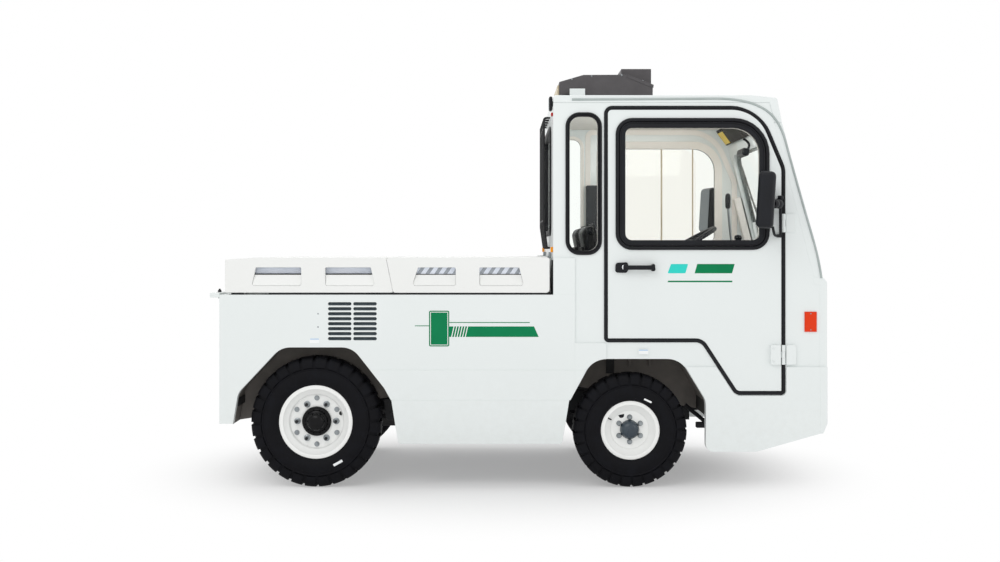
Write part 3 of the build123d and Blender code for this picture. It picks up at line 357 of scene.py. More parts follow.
def blank(name):
    """Empty material with an output, known by its record slot."""
    made = bpy.data.materials.new(name)
    made.use_nodes = True
    made.node_tree.nodes.clear()
    return made, made.node_tree, made.node_tree.nodes.new("ShaderNodeOutputMaterial")


def sheet_paint(name, colour, soil, rough=0.3, coat=0.35, dust_top=0.75):
    """Two-pack gloss paint sprayed on sheet steel."""
    made, tree, out = blank(name)
    place = add(tree, "TexCoord").outputs["Object"]
    # Faint clouding of the sprayed coat, about 400 mm across.
    cloud = add(tree, "TexNoise", {"Scale": PER_MM / 400, "Detail": 3.0, "Roughness": 0.55},
                {"Vector": place}).outputs["Fac"]
    # Road dust that thins out upwards from the sills.
    height = add(tree, "SeparateXYZ", links={"Vector": place}).outputs["Z"]
    low = add(tree, "MapRange",
              {"From Min": 0.16, "From Max": dust_top, "To Min": 1.0, "To Max": 0.0},
              {"Value": height}, interpolation_type="SMOOTHSTEP").outputs["Result"]
    specks = add(tree, "TexNoise", {"Scale": PER_MM / 35, "Detail": 6.0, "Roughness": 0.7},
                 {"Vector": place}).outputs["Fac"]
    patch = add(tree, "MapRange", {"From Min": 0.42, "From Max": 0.8},
                {"Value": specks}).outputs["Result"]
    dust = add(tree, "Math", {}, {0: low, 1: patch}, operation="MULTIPLY").outputs["Value"]
    faint = add(tree, "Math", {1: 0.1}, {0: dust}, operation="MULTIPLY").outputs["Value"]
    tone = add(tree, "MapRange", {"From Min": 0.3, "From Max": 0.7, "To Min": 0.0, "To Max": 0.22},
               {"Value": cloud}).outputs["Result"]
    base = add(tree, "Mix", {6: linear(colour), 7: linear(soil)}, {0: tone},
               data_type="RGBA").outputs[2]
    dusty = add(tree, "Mix", {7: linear("a9a59a")}, {0: faint, 6: base},
                data_type="RGBA").outputs[2]
    shine = add(tree, "MapRange",
                {"From Min": 0.3, "From Max": 0.8, "To Min": rough, "To Max": rough + 0.14},
                {"Value": cloud}).outputs["Result"]
    # Orange peel of a sprayed coat, drawn a little coarser than life so that it shows.
    peel = add(tree, "TexNoise", {"Scale": PER_MM / 4, "Detail": 1.0},
               {"Vector": place}).outputs["Fac"]
    relief = add(tree, "Bump", {"Strength": 0.025, "Distance": 0.001},
                 {"Height": peel}).outputs["Normal"]
    shader = add(tree, "BsdfPrincipled",
                 {"Coat Weight": coat, "Coat Roughness": 0.08, "IOR": 1.5},
                 {"Base Color": dusty, "Roughness": shine, "Normal": relief})
    tree.links.new(shader.outputs[0], out.inputs["Surface"])
    return made


def moulded(name, colour, pale, rough, grain_mm, depth=0.2, spread=0.12, metallic=0.0,
            sheen=0.5):
    """Plain body colour with a fine all-over grain and a little variation in shine."""
    made, tree, out = blank(name)
    place = add(tree, "TexCoord").outputs["Object"]
    cloud = add(tree, "TexNoise", {"Scale": PER_MM / 90, "Detail": 5.0, "Roughness": 0.6},
                {"Vector": place}).outputs["Fac"]
    grain = add(tree, "TexNoise", {"Scale": PER_MM / grain_mm, "Detail": 2.0},
                {"Vector": place}).outputs["Fac"]
    tone = add(tree, "MapRange", {"From Min": 0.35, "From Max": 0.75},
               {"Value": cloud}).outputs["Result"]
    base = add(tree, "Mix", {6: linear(colour), 7: linear(pale)}, {0: tone},
               data_type="RGBA").outputs[2]
    shine = add(tree, "MapRange",
                {"From Min": 0.3, "From Max": 0.75, "To Min": rough, "To Max": rough + spread},
                {"Value": cloud}).outputs["Result"]
    relief = add(tree, "Bump", {"Strength": depth, "Distance": 0.001},
                 {"Height": grain}).outputs["Normal"]
    shader = add(tree, "BsdfPrincipled", {"Metallic": metallic, "Specular IOR Level": sheen},
                 {"Base Color": base, "Roughness": shine, "Normal": relief})
    tree.links.new(shader.outputs[0], out.inputs["Surface"])
    return made


def clear_pane(name, tint, haze):
    """Flat float glass: seen through, with a mirror that grows towards the edge-on view."""
    made, tree, out = blank(name)
    facing = add(tree, "LayerWeight", {"Blend": 0.5}).outputs["Facing"]
    steep = add(tree, "Math", {1: 4.0}, {0: facing}, operation="POWER").outputs["Value"]
    mirror = add(tree, "Math", {1: 0.35, 2: haze}, {0: steep},
                 operation="MULTIPLY_ADD").outputs["Value"]
    through = add(tree, "BsdfTransparent", {"Color": linear(tint)}).outputs[0]
    gloss = add(tree, "BsdfGlossy", {"Color": linear("f4f8f7"), "Roughness": 0.02}).outputs[0]
    blend = add(tree, "MixShader", {}, {0: mirror, 1: through, 2: gloss})
    tree.links.new(blend.outputs[0], out.inputs["Surface"])
    return made


def ribbed_lens(name, colour, pitch_mm):
    """Moulded acrylic lens with prism ribs on its back, whose fine bright and dark lines are painted
    highlight in its colour.
    """
    made, tree, out = blank(name)
    place = add(tree, "TexCoord").outputs["Object"]
    painted_rib_glints = add(tree, "TexWave", {"Scale": PER_MM / pitch_mm / 3.0}, {"Vector": place},
               wave_type="BANDS", bands_direction="Z", wave_profile="TRI").outputs["Fac"]
    cells = add(tree, "TexVoronoi", {"Scale": PER_MM / pitch_mm}, {"Vector": place},
                feature="F1").outputs["Distance"]
    # Painted highlight: the lens colour is lightened a little towards white along the rib bands.
    fade = add(tree, "Math", {1: 0.012}, {0: painted_rib_glints}, operation="MULTIPLY").outputs["Value"]
    tone = add(tree, "Mix", {6: linear(colour), 7: linear("ffffff")}, {0: fade},
               data_type="RGBA").outputs[2]
    relief = add(tree, "Bump", {"Strength": 0.35, "Distance": 0.002},
                 {"Height": cells}).outputs["Normal"]
    shader = add(tree, "BsdfPrincipled", {"Roughness": 0.2, "Specular IOR Level": 0.12},
                 {"Base Color": tone, "Normal": relief})
    tree.links.new(shader.outputs[0], out.inputs["Surface"])
    return made


def tyre_compound(name):
    """Black tyre rubber: matt, bluish, with fine mould grain and a paler tone in random clouds."""
    made, tree, out = blank(name)
    place = add(tree, "TexCoord").outputs["Object"]
    cloud = add(tree, "TexNoise", {"Scale": PER_MM / 60, "Detail": 6.0, "Roughness": 0.65},
                {"Vector": place}).outputs["Fac"]
    grain = add(tree, "TexNoise", {"Scale": PER_MM / 1.6, "Detail": 3.0},
                {"Vector": place}).outputs["Fac"]
    tone = add(tree, "MapRange", {"From Min": 0.45, "From Max": 0.8},
               {"Value": cloud}).outputs["Result"]
    base = add(tree, "Mix", {6: linear("0a0a0e"), 7: linear("15161b")}, {0: tone},
               data_type="RGBA").outputs[2]
    shine = add(tree, "MapRange", {"From Min": 0.3, "From Max": 0.8, "To Min": 0.5, "To Max": 0.78},
                {"Value": cloud}).outputs["Result"]
    relief = add(tree, "Bump", {"Strength": 0.25, "Distance": 0.0008},
                 {"Height": grain}).outputs["Normal"]
    shader = add(tree, "BsdfPrincipled", {"Specular IOR Level": 0.12},
                 {"Base Color": base, "Roughness": shine, "Normal": relief})
    tree.links.new(shader.outputs[0], out.inputs["Surface"])
    return made


def grained_vinyl(name, colour, pale, pebble_mm):
    """Embossed seat vinyl: rounded pebbles, with painted shade darkening the creases between them."""
    made, tree, out = blank(name)
    place = add(tree, "TexCoord").outputs["Object"]
    pebbles = add(tree, "TexVoronoi", {"Scale": PER_MM / pebble_mm}, {"Vector": place},
                  feature="DISTANCE_TO_EDGE").outputs["Distance"]
    crown = add(tree, "MapRange", {"From Min": 0.0, "From Max": 0.25},
                {"Value": pebbles}).outputs["Result"]
    cloud = add(tree, "TexNoise", {"Scale": PER_MM / 120, "Detail": 4.0},
                {"Vector": place}).outputs["Fac"]
    # Painted shade: the colour goes darker into the creases and paler on the pebble crowns.
    base = add(tree, "Mix", {6: linear(colour), 7: linear(pale)}, {0: crown},
               data_type="RGBA").outputs[2]
    shine = add(tree, "MapRange", {"From Min": 0.3, "From Max": 0.7, "To Min": 0.36, "To Max": 0.5},
                {"Value": cloud}).outputs["Result"]
    relief = add(tree, "Bump", {"Strength": 0.35, "Distance": 0.001},
                 {"Height": crown}).outputs["Normal"]
    shader = add(tree, "BsdfPrincipled", {"IOR": 1.5},
                 {"Base Color": base, "Roughness": shine, "Normal": relief})
    tree.links.new(shader.outputs[0], out.inputs["Surface"])
    return made


# ---------------------------------------------------------------- finishes
# Cool white polyurethane topcoat on the cab and body: clean gloss, faint clouding, dust low down.
body_white = sheet_paint("polyurethane_body_white", "e6ebea", "dfe5e4")
# Slightly warmer and duller white on the pressed battery covers.
cover_white = sheet_paint("satin_cover_white", "ecedeb", "e4e6e3", rough=0.42, coat=0.12)
# Warm white enamel on the pressed steel wheels.
rim_white = sheet_paint(
    "wheel_enamel_white", "f4f5f3", "e9eae6", rough=0.34, coat=0.2, dust_top=0.2
)
# Semi-gloss black chassis paint with a film of grey dust.
chassis_black = moulded("chassis_black_paint", "0c0c0e", "232427", 0.42, 3.0, sheen=0.3)
# Fine-textured grey powder coat on the roof unit.
roof_grey = moulded("textured_powder_coat_grey", "454244", "514e50", 0.5, 2.2, 0.3)
# As-cast iron under thin black paint: coarse grain, uneven shine.
axle_cast = moulded("painted_cast_iron", "1b1c1f", "3a3937", 0.5, 4.0, 0.5)
# Blue-grey epoxy on the battery tray.
battery_epoxy = moulded("battery_tray_epoxy", "3b4650", "4a5560", 0.5, 3.0)
tyre_black = tyre_compound("carbon_black_tyre_rubber")
# Extruded EPDM seal: smooth, dull, bluish black.
seal_rubber = moulded(
    "extruded_epdm_rubber", "0d0e12", "15161b", 0.42, 2.0, 0.08, sheen=0.25
)
# Injection-moulded black ABS with a spark-eroded grain.
black_abs = moulded(
    "moulded_black_abs", "0d0f14", "15171d", 0.38, 1.4, 0.3, sheen=0.25
)
dash_grey = moulded("moulded_dash_plastic", "26292d", "33363b", 0.5, 1.8, 0.35)
seat_black = grained_vinyl("embossed_seat_vinyl", "0b0c0f", "15161a", 3.0)
# Studded rubber floor mat.
floor_mat = moulded("studded_floor_rubber", "1d1e20", "35352f", 0.7, 14.0, 0.8)
pane_glass = clear_pane("float_glass", "fefffe", 0.003)
slider_glass = clear_pane("tinted_sliding_glass", "fefdfc", 0.008)
lamp_clear = clear_pane("clear_lamp_lens", "f4f6f6", 0.1)
red_acrylic = ribbed_lens("red_lamp_acrylic", "b3120c", 5.0)
amber_acrylic = ribbed_lens("amber_lamp_acrylic", "f39a12", 5.0)
orange_acrylic = ribbed_lens("orange_reflector_acrylic", "e0380a", 4.0)
# Bright zinc plate: pale, slightly mottled by the spangle.
zinc_bright = moulded(
    "bright_zinc_plate", "9ea3a6", "7b8184", 0.3, 6.0, 0.15, metallic=1.0
)
# Dark blue-grey enamel on the pressed hub cap.
hub_blue = moulded("blue_grey_cap_enamel", "2d3843", "38454f", 0.24, 3.0, 0.05)
# Gloss black enamel on the cast rear hubs.
hub_black = moulded(
    "gloss_black_hub_enamel", "050506", "0a0a0c", 0.2, 3.0, 0.05, 0.06, sheen=0.18
)
# Silvered glass with a smoky tint.
mirror_silver = moulded(
    "smoky_mirror_glass", "4e565b", "535b60", 0.04, 20.0, 0.0, 0.02, metallic=1.0
)
# Chrome on the lamp bowls and door locks.
chrome = moulded(
    "polished_chrome", "dfe2e4", "d0d4d7", 0.06, 20.0, 0.0, 0.05, metallic=1.0
)
# Glass over the instruments: almost black, glossy.
screen_glass = moulded("dark_display_glass", "0b0d10", "101318", 0.08, 30.0, 0.0, 0.02)
# Dark grey galvanised louvre blades.
louvre_grey = moulded("galvanised_louvre", "39434a", "515b60", 0.5, 5.0, 0.1)
# Ribbed pale blue polypropylene lids, coloured near white to stand for light falling through the
# cut-outs, their blue cast a painted reflection.
painted_light_lid = moulded("pale_lid_with_painted_light", "eef3fd", "e2eaf7", 0.4, 3.0, 0.1)
# Grey slanting bars on the panel behind the front cut-outs: a painted reflection.
painted_reflection_grey = moulded("grey_painted_reflection", "9ba1a9", "a7adb5", 0.5, 5.0, 0.05)
# Green and teal cut vinyl film on the flank and doors.
green_film = moulded("green_vinyl_film", "00784a", "02804f", 0.4, 5.0, 0.05, sheen=0.15)
teal_film = moulded("teal_vinyl_film", "2fd0c4", "36d6ca", 0.4, 5.0, 0.05, sheen=0.2)
label_film = moulded("white_label_film", "f4f6f6", "eceff0", 0.45, 5.0, 0.05)
blue_film = moulded("pale_blue_film", "86b4dc", "93bee2", 0.4, 5.0, 0.05)
# Grey stone-chip coating inside the wheel arches.
arch_grey = moulded("stone_chip_coating", "706c68", "7f7a75", 0.8, 7.0, 0.5, sheen=0.2)
# Gutter strip, coloured grey to stand for the shade along a white drip rail: painted shade.
gutter_shade_grey = moulded("grey_gutter_painted_shade", "a3adab", "b3bbb9", 0.4, 4.0, 0.05)
beige_cap = moulded("beige_plastic", "cbbda0", "d6c9ae", 0.5, 3.0, 0.1)
yellow_film = moulded("yellow_label_film", "e8c420", "efd040", 0.45, 5.0, 0.05)
trim_white = moulded("white_interior_trim", "f3eee8", "f8f4ee", 0.55, 3.0, 0.15)
# Padded grey-brown cloth of the sun visors.
visor_grey = moulded("grey_visor_cloth", "33312e", "403e3a", 0.8, 2.0, 0.4, sheen=0.2)

FINISH_OF_SLOT = {
    "white_paint": body_white, "cover_paint": cover_white, "rim_paint": rim_white,
    "black_paint": chassis_black, "roof_unit_paint": roof_grey, "axle_iron": axle_cast,
    "battery_paint": battery_epoxy, "tyre_rubber": tyre_black, "black_rubber": seal_rubber,
    "black_plastic": black_abs, "dash_plastic": dash_grey, "seat_vinyl": seat_black,
    "floor_rubber": floor_mat, "window_glass": pane_glass, "lamp_lens": lamp_clear,
    "red_lens": red_acrylic, "orange_lens": orange_acrylic, "zinc_steel": zinc_bright,
}

# Every CAD node first takes the finish of its slot.
for node, holder in frame["nodes"].items():
    finish = FINISH_OF_SLOT[SLOT_OF_NODE[node]]
    if not holder.material_slots:
        holder.data.materials.append(finish)
    for held in holder.material_slots:
        held.material = finish

# ---------------------------------------------------------------- panels with rounded edges
# Columns: CAD node, edge radius.
SHELLS = [
    ("body_sides", 0.8), ("skirts", 1.2), ("rear_panel", 3.0), ("rear_ledge", 4.0),
    ("load_deck", 2.0), ("rear_cover", 4.0), ("battery_cover", 1.0), ("cab_sides", 0.6),
    ("cab_rear_wall", 1.0), ("cab_roof", 6.0), ("windscreen_frame", 1.0), ("front_panel", 1.2),
    ("door_left", 0.8), ("door_right", 0.8), ("chassis_frame", 1.0), ("front_axle", 2.0),
    ("rear_axle", 1.2), ("knuckle_left", 1.5), ("knuckle_right", 1.5), ("tie_rod", 1.0),
    ("leaf_springs", 1.0), ("tow_hitch", 1.5), ("roof_unit", 2.5), ("roof_brackets", 1.0),
    ("hinge_brackets", 0.8), ("cover_hinges", 0.8), ("cab_floor", 2.0), ("dashboard", 6.0),
    ("seat_frames", 0.6), ("steering_column", 1.5), ("pedals", 1.5), ("battery_pack", 4.0),
    ("drive_motor", 3.0),
]
for node, width in SHELLS:
    softened(node, width)


# ---------------------------------------------------------------- tyres and wheels
# Columns: name, wheel centre x, y, z, tyre radius, half width, rim radius, flange edge, hub radius.
WHEELS = [
    ("front", 577.0, 632.5, 295.0, 295.0, 87.5, 140.0, 68.5, 44.0),
    ("rear", -1050.0, 625.0, 338.0, 338.0, 95.0, 178.0, 76.0, 60.0),
]
FRONT, REAR = WHEELS
FRONT_BODY, REAR_BODY = "wheel_front_{side}", "wheel_rear_{side}"
# How far the tyre's bead stands over the rim, and the disc's bolting face out from the centre.
BEAD, DISC_FACE = 12, 30

LUGS = 28
STEPS_PER_LUG = 9
GAP_STEPS = 2
# Depth of the tread, how far down the shoulder the lugs reach, and how far they stand out there.
LUG_DEPTH, LUG_FOOT, LUG_SIDE = 11, 57, 5.5
# Rows out from the tyre's middle plane: share of the half width, depth under the full radius.
CARCASS = [
    (0.0, 11), (0.30, 11), (0.56, 12), (0.70, 15), (0.80, 22), (0.86, 34), (0.89, 46), (0.90, 56),
    (0.91, 59), (0.955, 62), (0.96, 66), (0.935, 69), (0.965, 82), (0.985, 95), (0.985, 108),
    (0.955, 121), (0.90, 132),
]


def at_wheel(row, out=0.0):
    """Shift to a wheel's centre, or straight out from it."""
    return on(row[1], row[2] + out, row[3])


def tyre(radius, half, foot, centre):
    """Pneumatic industrial tyre with staggered block lugs that wrap over the shoulder."""
    rows = [
        (share * half, radius - depth) for share, depth in CARCASS if depth < radius - foot - 8
    ]
    rows += [
        (half * 0.8, foot + 3), (half * 0.72, foot - 1), (half * 0.66, foot - 11),
        (half * 0.60, foot - 12),
    ]
    closed = rows + [(-along, r) for along, r in reversed(rows) if along > 0]
    bm = lathe(closed, steps=LUGS * STEPS_PER_LUG)
    step = 2 * math.pi / (LUGS * STEPS_PER_LUG)
    lug_foot = (radius - LUG_FOOT) * MM

    def in_lug(face):
        spot = face.calc_center_median()
        reach = math.hypot(spot.x, spot.z)
        if reach < lug_foot or reach < abs(spot.y):
            return False
        column = int(round(math.atan2(spot.z, spot.x) / step - 0.5))
        if spot.y < 0:
            column += STEPS_PER_LUG // 2
        return column % STEPS_PER_LUG >= GAP_STEPS

    lugs = [face for face in bm.faces if in_lug(face)]
    pulled = bmesh.ops.extrude_face_region(bm, geom=lugs)["geom"]
    bmesh.ops.delete(bm, geom=lugs, context="FACES")
    for vert in pulled:
        if isinstance(vert, bmesh.types.BMVert):
            x, y, z = vert.co
            reach = math.hypot(x, z)
            rise = (reach - lug_foot) / (radius * MM - LUG_DEPTH * MM - lug_foot)
            rise = min(max(rise, 0.0), 1.0)
            scale = (reach + LUG_DEPTH * MM * rise ** 0.8) / reach
            side = math.copysign(1, y) if abs(y) > 0.5 * half * MM else 0
            y += side * LUG_SIDE * MM * (1 - rise * 0.3)
            vert.co = (x * scale, y, z * scale)
    return moved(bm, centre)


def rim(radius, edge, hub):
    """Pressed disc wheel: rolled flanges, drop-centre barrel and dished disc."""
    lip = radius + BEAD
    return lathe([
        (-edge + 8, radius - 1), (-edge + 8, lip), (-edge + 2, lip + 0.5), (-edge, lip - 2),
        (-edge, radius - 6), (-edge + 12, radius - 12), (-40, radius - 22), (0, radius - 30),
        (18, radius - 33), (18, hub), (DISC_FACE, hub), (DISC_FACE, radius - 46),
        (32, radius - 41), (38, radius - 38), (edge - 30, radius - 36), (edge - 26, radius - 33),
        (edge - 22, radius - 24), (edge - 10, radius - 14), (edge - 7, radius - 10),
        (edge - 2, radius - 8), (edge, radius - 3), (edge, lip - 3), (edge - 2, lip),
        (edge - 7, lip + 0.5), (edge - 8, radius - 1),
    ], steps=96)


def ring_of(build, count, reach, start=90.0):
    """Copies of a small part round the wheel's axis."""
    turns = [math.radians(start + 360 * index / count) for index in range(count)]
    return copies(build, [(reach * math.cos(turn), 0, reach * math.sin(turn)) for turn in turns])


for row in WHEELS:
    kind, radius, half, rim_radius, edge, hub_radius = row[0], *row[4:]
    twin(kind + "_tyre", lambda: tyre(radius, half, rim_radius + BEAD, at_wheel(row)), tyre_black,
         "wheel_" + kind + "_{side}", ["tyre_" + kind + "_{side}"], smooth=30)
    twin(kind + "_rim", lambda: moved(rim(rim_radius, edge, hub_radius), at_wheel(row)), rim_white,
         "wheel_" + kind + "_{side}", ["rim_" + kind + "_{side}"], smooth=40)

twin("rear_hub", lambda: moved(joined([
    lathe([
        (14, 0), (14, 60), (28, 61), (31, 74), (34, 76), (42, 76), (45, 73), (46, 62), (49, 58),
        (58, 55), (62, 48), (74, 45), (84, 38), (90, 26), (93, 12), (93.5, 0),
    ], steps=64),
    moved(ring_of(lambda: hex_bolt(7, 6), 12, 66, 15), on(0, 45, 0)),
]), at_wheel(REAR)), hub_black, REAR_BODY)
twin("rear_disc_bolts", lambda: moved(
    ring_of(lambda: hex_bolt(20, 10, stud=4), 6, 120), at_wheel(REAR, DISC_FACE),
), zinc_bright, REAR_BODY)
twin("rear_wheel_nuts", lambda: moved(ring_of(lambda: joined([
    lathe([(0, 0), (0, 17), (4, 17), (7, 13), (7, 0)], steps=24),
    prism(6, 13, 20, 1.2, (0, 6, 0)),
]), 6, 101, 0), at_wheel(REAR, DISC_FACE)), zinc_bright, REAR_BODY)
twin("rear_wheel_studs", lambda: moved(
    ring_of(lambda: prism(12, 8.5, 30, 1, (0, 6, 0)), 6, 101, 0), at_wheel(REAR, DISC_FACE),
), chassis_black, REAR_BODY)
# Label and valve of each wheel.
twin("rear_wheel_label", lambda: moved(
    plate(rect(-26, 26, -6.5, 6.5, 1), 88.5, 94.4, 0.4),
    at_wheel(REAR) @ on(117, 0, -209) @ turned(-29, "Y"),
), label_film, REAR_BODY)
twin("rear_valve", lambda: joined([
    lathe([(30, 0), (30, 11), (31, 11), (31, 0)], (-924, 625, 378), steps=24),
    prism(12, 4, 18, 1, (-924, 656, 378)),
]), seal_rubber, REAR_BODY)
twin("front_wheel_label", lambda: moved(
    plate(rect(-21, 21, -4.5, 4.5, 1), 80, 87, 0.4),
    at_wheel(FRONT) @ on(89, 0, 155) @ turned(25, "Y"),
), label_film, FRONT_BODY)
# The hole in the disc by the valve is drawn as a black sheet on the disc, which stands for the shade
# inside it: painted shade.
twin("front_valve_hole_shade", lambda: plate(
    [(518, 369, 2), (549, 376, 2), (547, 358, 9), (527, 353, 9)], 662, 663.6,
), seal_rubber, FRONT_BODY)
twin("front_valve", lambda: tube([(480, 681, 348), (469, 690, 354), (461, 697, 360)], 3.6),
     seal_rubber, FRONT_BODY)
twin("front_hub_cap", lambda: moved(lathe([
    (16, 0), (16, 50), (33, 50), (36, 48), (42, 47), (54, 45), (64, 38), (70, 27), (73, 13),
    (73.5, 0),
], steps=56), at_wheel(FRONT)), hub_blue, FRONT_BODY)
twin("front_wheel_nuts", lambda: moved(ring_of(lambda: joined([
    lathe([(0, 0), (0, 14), (3, 14), (6, 11), (6, 0)], steps=20),
    hex_bolt(18, 15, stud=5),
]), 6, 64), at_wheel(FRONT, DISC_FACE)), zinc_bright, FRONT_BODY)

# ---------------------------------------------------------------- windows and door seals
DOOR_SEAM = [(450, 764, 12), (944, 764, 60), (1121, 493, 35), (1361, 493, 12), (1361, 1648, 100),
             (1231, 1959, 204), (450, 1959, 30)]
DOOR_OPENING = (513, 1276, 1243, 1893, (70, 70, 170, 70))
QUARTER_OPENING = (252, 416, 1214, 1925, 60)
REAR_OPENING = (-480, 480, 1320, 1880, 70)
SCREEN_OPENING = (-640, 640, 112, 750, 90)
CAB_SIDE = 730

twin("door_seal", lambda: hoop(grown(DOOR_SEAM, 8.6), 17.2, 702, 730, 3.0), seal_rubber)
twin("door_seal_lip", lambda: hoop(grown(DOOR_SEAM, 11.5), 13, 729, 736, 3.2), seal_rubber)
twin("door_jamb_strip", lambda: hoop(grown(DOOR_SEAM, 16), 32, 683, 689.4, 1.5), trim_white)
twin("door_window_rubber", lambda: joined([
    hoop(rect(*DOOR_OPENING, 15), 19, 716, 742, 8.0), hoop(rect(*DOOR_OPENING, -5), 10, 712, 737, 4.5),
]), seal_rubber, "door_{side}")
twin("door_window_trim", lambda: hoop(rect(*DOOR_OPENING, 10), 46, 686, 706, 3.0),
     trim_white, "door_{side}")
twin("quarter_window_trim", lambda: hoop(rect(*QUARTER_OPENING, 10), 20, 686, 711, 3.0), trim_white)
twin("door_window_channel", lambda: hoop(rect(*DOOR_OPENING, -13), 23, 708, 733, 3.0),
     black_abs, "door_{side}")
twin("quarter_window_rubber", lambda: joined([
    hoop(rect(*QUARTER_OPENING, 12), 13, 712, 740, 5.5),
    hoop(rect(*QUARTER_OPENING, -1), 9, 712, 736, 4.0),
]), seal_rubber)
twin("sliding_pane", lambda: plate(rect(540, 1126, 1268, 1863, (30, 34, 110, 30)), 715.5, 719.5, 0.8),
     slider_glass, "door_{side}")
piece("sliding_pane_rails", joined([
    plate(rect(905, 915, 1274, 1858, 3), 702, 712, 1.5),
    plate(rect(1100, 1108, 1274, 1858, 3), 702, 712, 1.5),
]), beige_cap, "door_left")

# Local x to world y, local depth out through the rear wall, local z upwards.
BACKWARDS = Matrix(((0, -1, 0, 0), (1, 0, 0, 0), (0, 0, 1, 0), (0, 0, 0, 1)))
piece("rear_window_rubber", moved(hoop(rect(*REAR_OPENING, 14), 30, -197, -166, 6.0), BACKWARDS),
      seal_rubber)
LEAN = math.atan2(202, 794)
# Local x to the right-hand side, local depth out through the leaning windscreen, local z up it.
SCREEN = Matrix((
    (0, math.cos(LEAN), -math.sin(LEAN), 1.559), (-1, 0, 0, 0),
    (0, math.sin(LEAN), math.cos(LEAN), 1.088), (0, 0, 0, 1),
))
piece("windscreen_rubber", moved(hoop(rect(*SCREEN_OPENING, 14), 30, -16, 7, 6.0), SCREEN), seal_rubber)

# Parallel wipers: blade, arm and spindle each.
wipers = []
for side in (-1, 1):
    foot = (side * 330, 9, 60)
    tip = (side * 330 - 300, 13, 480)
    wipers += [
        lathe([(-8, 0), (-8, 17), (4, 17), (10, 12), (10, 0)], foot, "Y", 24),
        tube([foot, (foot[0] - 20, 17, 120), tip], 5, "NURBS"),
        tube([(tip[0] + 90, 13, tip[2] - 240), (tip[0] - 40, 13, tip[2] + 190)], 5),
    ]
piece("windscreen_wipers", moved(joined(wipers), SCREEN), black_abs)

# ---------------------------------------------------------------- cab fittings
# Drip rail on the cab side; its grey colour stands for the shade along it: painted shade.
twin("drip_gutter", lambda: tube([
    (274, 731, 2003), (900, 731, 2007), (1120, 731, 2008), (1268, 731, 1962), (1352, 731, 1868),
    (1400, 731, 1690), (1470, 731, 1440), (1548, 731, 1172), (1558, 731, 1084),
], 6.0, "NURBS"), gutter_shade_grey)
twin("handle_lock", lambda: joined([
    lathe([(0, 0), (0, 15), (2, 15), (3.5, 13), (3.5, 9), (2, 8), (2, 0)], (545, 742, 1139), "Y", 28),
    block((543.5, 743, 1131), (546.5, 744.6, 1147)),
]), chrome, "door_{side}")


# Grip of the door handle: its rear end and length, the height it is waisted to, and how far.
HANDLE_REAR, HANDLE_LENGTH, WAIST_Z, WAIST = 544, 150, 1137, 0.28


def pull_handle():
    """Paddle handle: base with rounded ends, waisted grip and a far foot."""
    base = plate([(496, 1112, 12), (560, 1110, 14), (562, 1166, 12), (498, 1162, 14)], 730, 743, 4.0)
    grip = block((HANDLE_REAR, 752, 1126), (HANDLE_REAR + HANDLE_LENGTH, 774, 1150), 7.0, 4)
    for vert in grip.verts:
        share = min(max((vert.co.x / MM - HANDLE_REAR) / HANDLE_LENGTH, 0), 1)
        vert.co.z += (WAIST_Z * MM - vert.co.z) * WAIST * math.sin(math.pi * share)
    foot = plate([(678, 1118, 9), (700, 1120, 8), (697, 1158, 8), (682, 1156, 9)], 730, 772, 4.0)
    knuckle = block((536, 740, 1122), (562, 768, 1154), 6.0, 3)
    return joined([base, grip, foot, knuckle])


twin("door_pull_handle", pull_handle, black_abs, "door_{side}", ["door_handle_{side}"])

MIRROR_PLACE = on(1248, 882, 1479) @ turned(12, "Z") @ turned(3.4, "Y")
# Half the mirror's depth, width and height, and how far its back is domed.
MIRROR_HALF, MIRROR_DOME = (46, 89, 142), 12


def mirror_shell():
    """Mirror housing: domed back, flat rim round the glass."""
    bm = block([-half for half in MIRROR_HALF], MIRROR_HALF, 22, 5)
    for vert in bm.verts:
        if vert.co.x > 0:
            across, up = vert.co.y / (MIRROR_HALF[1] * MM), vert.co.z / (MIRROR_HALF[2] * MM)
            vert.co.x -= MIRROR_DOME * MM * (across ** 2 + up ** 2) / 2
    return moved(bm, MIRROR_PLACE)


twin("mirror_housing", lambda: joined([
    mirror_shell(),
    tube([(1340, 766, 1297), (1340, 766, 1500)], 8),
    tube([(1340, 766, 1300), (1318, 772, 1300), (1300, 800, 1306), (1290, 816, 1345)], 7, "NURBS"),
    moved(lathe([
        (-34, 0), (-34, 14), (-26, 21), (-10, 24), (4, 18), (16, 16), (26, 22), (44, 24),
        (54, 18), (54, 0),
    ], axis="X", steps=32), on(1300, 846, 1462) @ turned(-58, "Z")),
    tube([(1318, 816, 1462), (1334, 786, 1462), (1340, 768, 1462)], 11),
    lathe([(-10, 0), (-10, 12), (-6, 15), (6, 15), (10, 12), (10, 0)], (1340, 766, 1497), "Z", 20),
    block((1326, 730, 1292), (1349, 773, 1309), 3), block((1326, 730, 1478), (1349, 773, 1494), 3),
]), black_abs, "door_{side}", ["door_mirror_{side}"])
MIRROR_FACE = MIRROR_PLACE @ on(-47.8, 0, 0) @ turned(90, "Z") @ Matrix.Scale(-1, 4, (0, 1, 0))
twin("mirror_glass", lambda: moved(
    plate(rect(-78, 78, -130, 130, 22), 0, 2.0, 0.8), MIRROR_FACE,
), mirror_silver, "door_{side}")
for level, low, high, face in (("upper", 1318, 1416, 739), ("lower", 638, 740, 747)):
    twin(level + "_hinge_leaf", lambda: joined([
        plate([(1294, low, 10), (1348, low, 2), (1348, high, 2), (1294, high, 10)],
              face - 11, face, 2.5),
        copies(lambda: screw(6, 3), [(1308, face, low + 18), (1308, face, high - 18)]),
    ]), body_white, "door_{side}")
twin("hinge_plates", lambda: joined([
    plate([(1374, low, 2), (1426, low, 14), (1426, high, 14), (1374, high, 2)], 728, top, 2.5)
    for low, high, top in ((638, 740, 747), (1318, 1416, 739))
]), body_white)

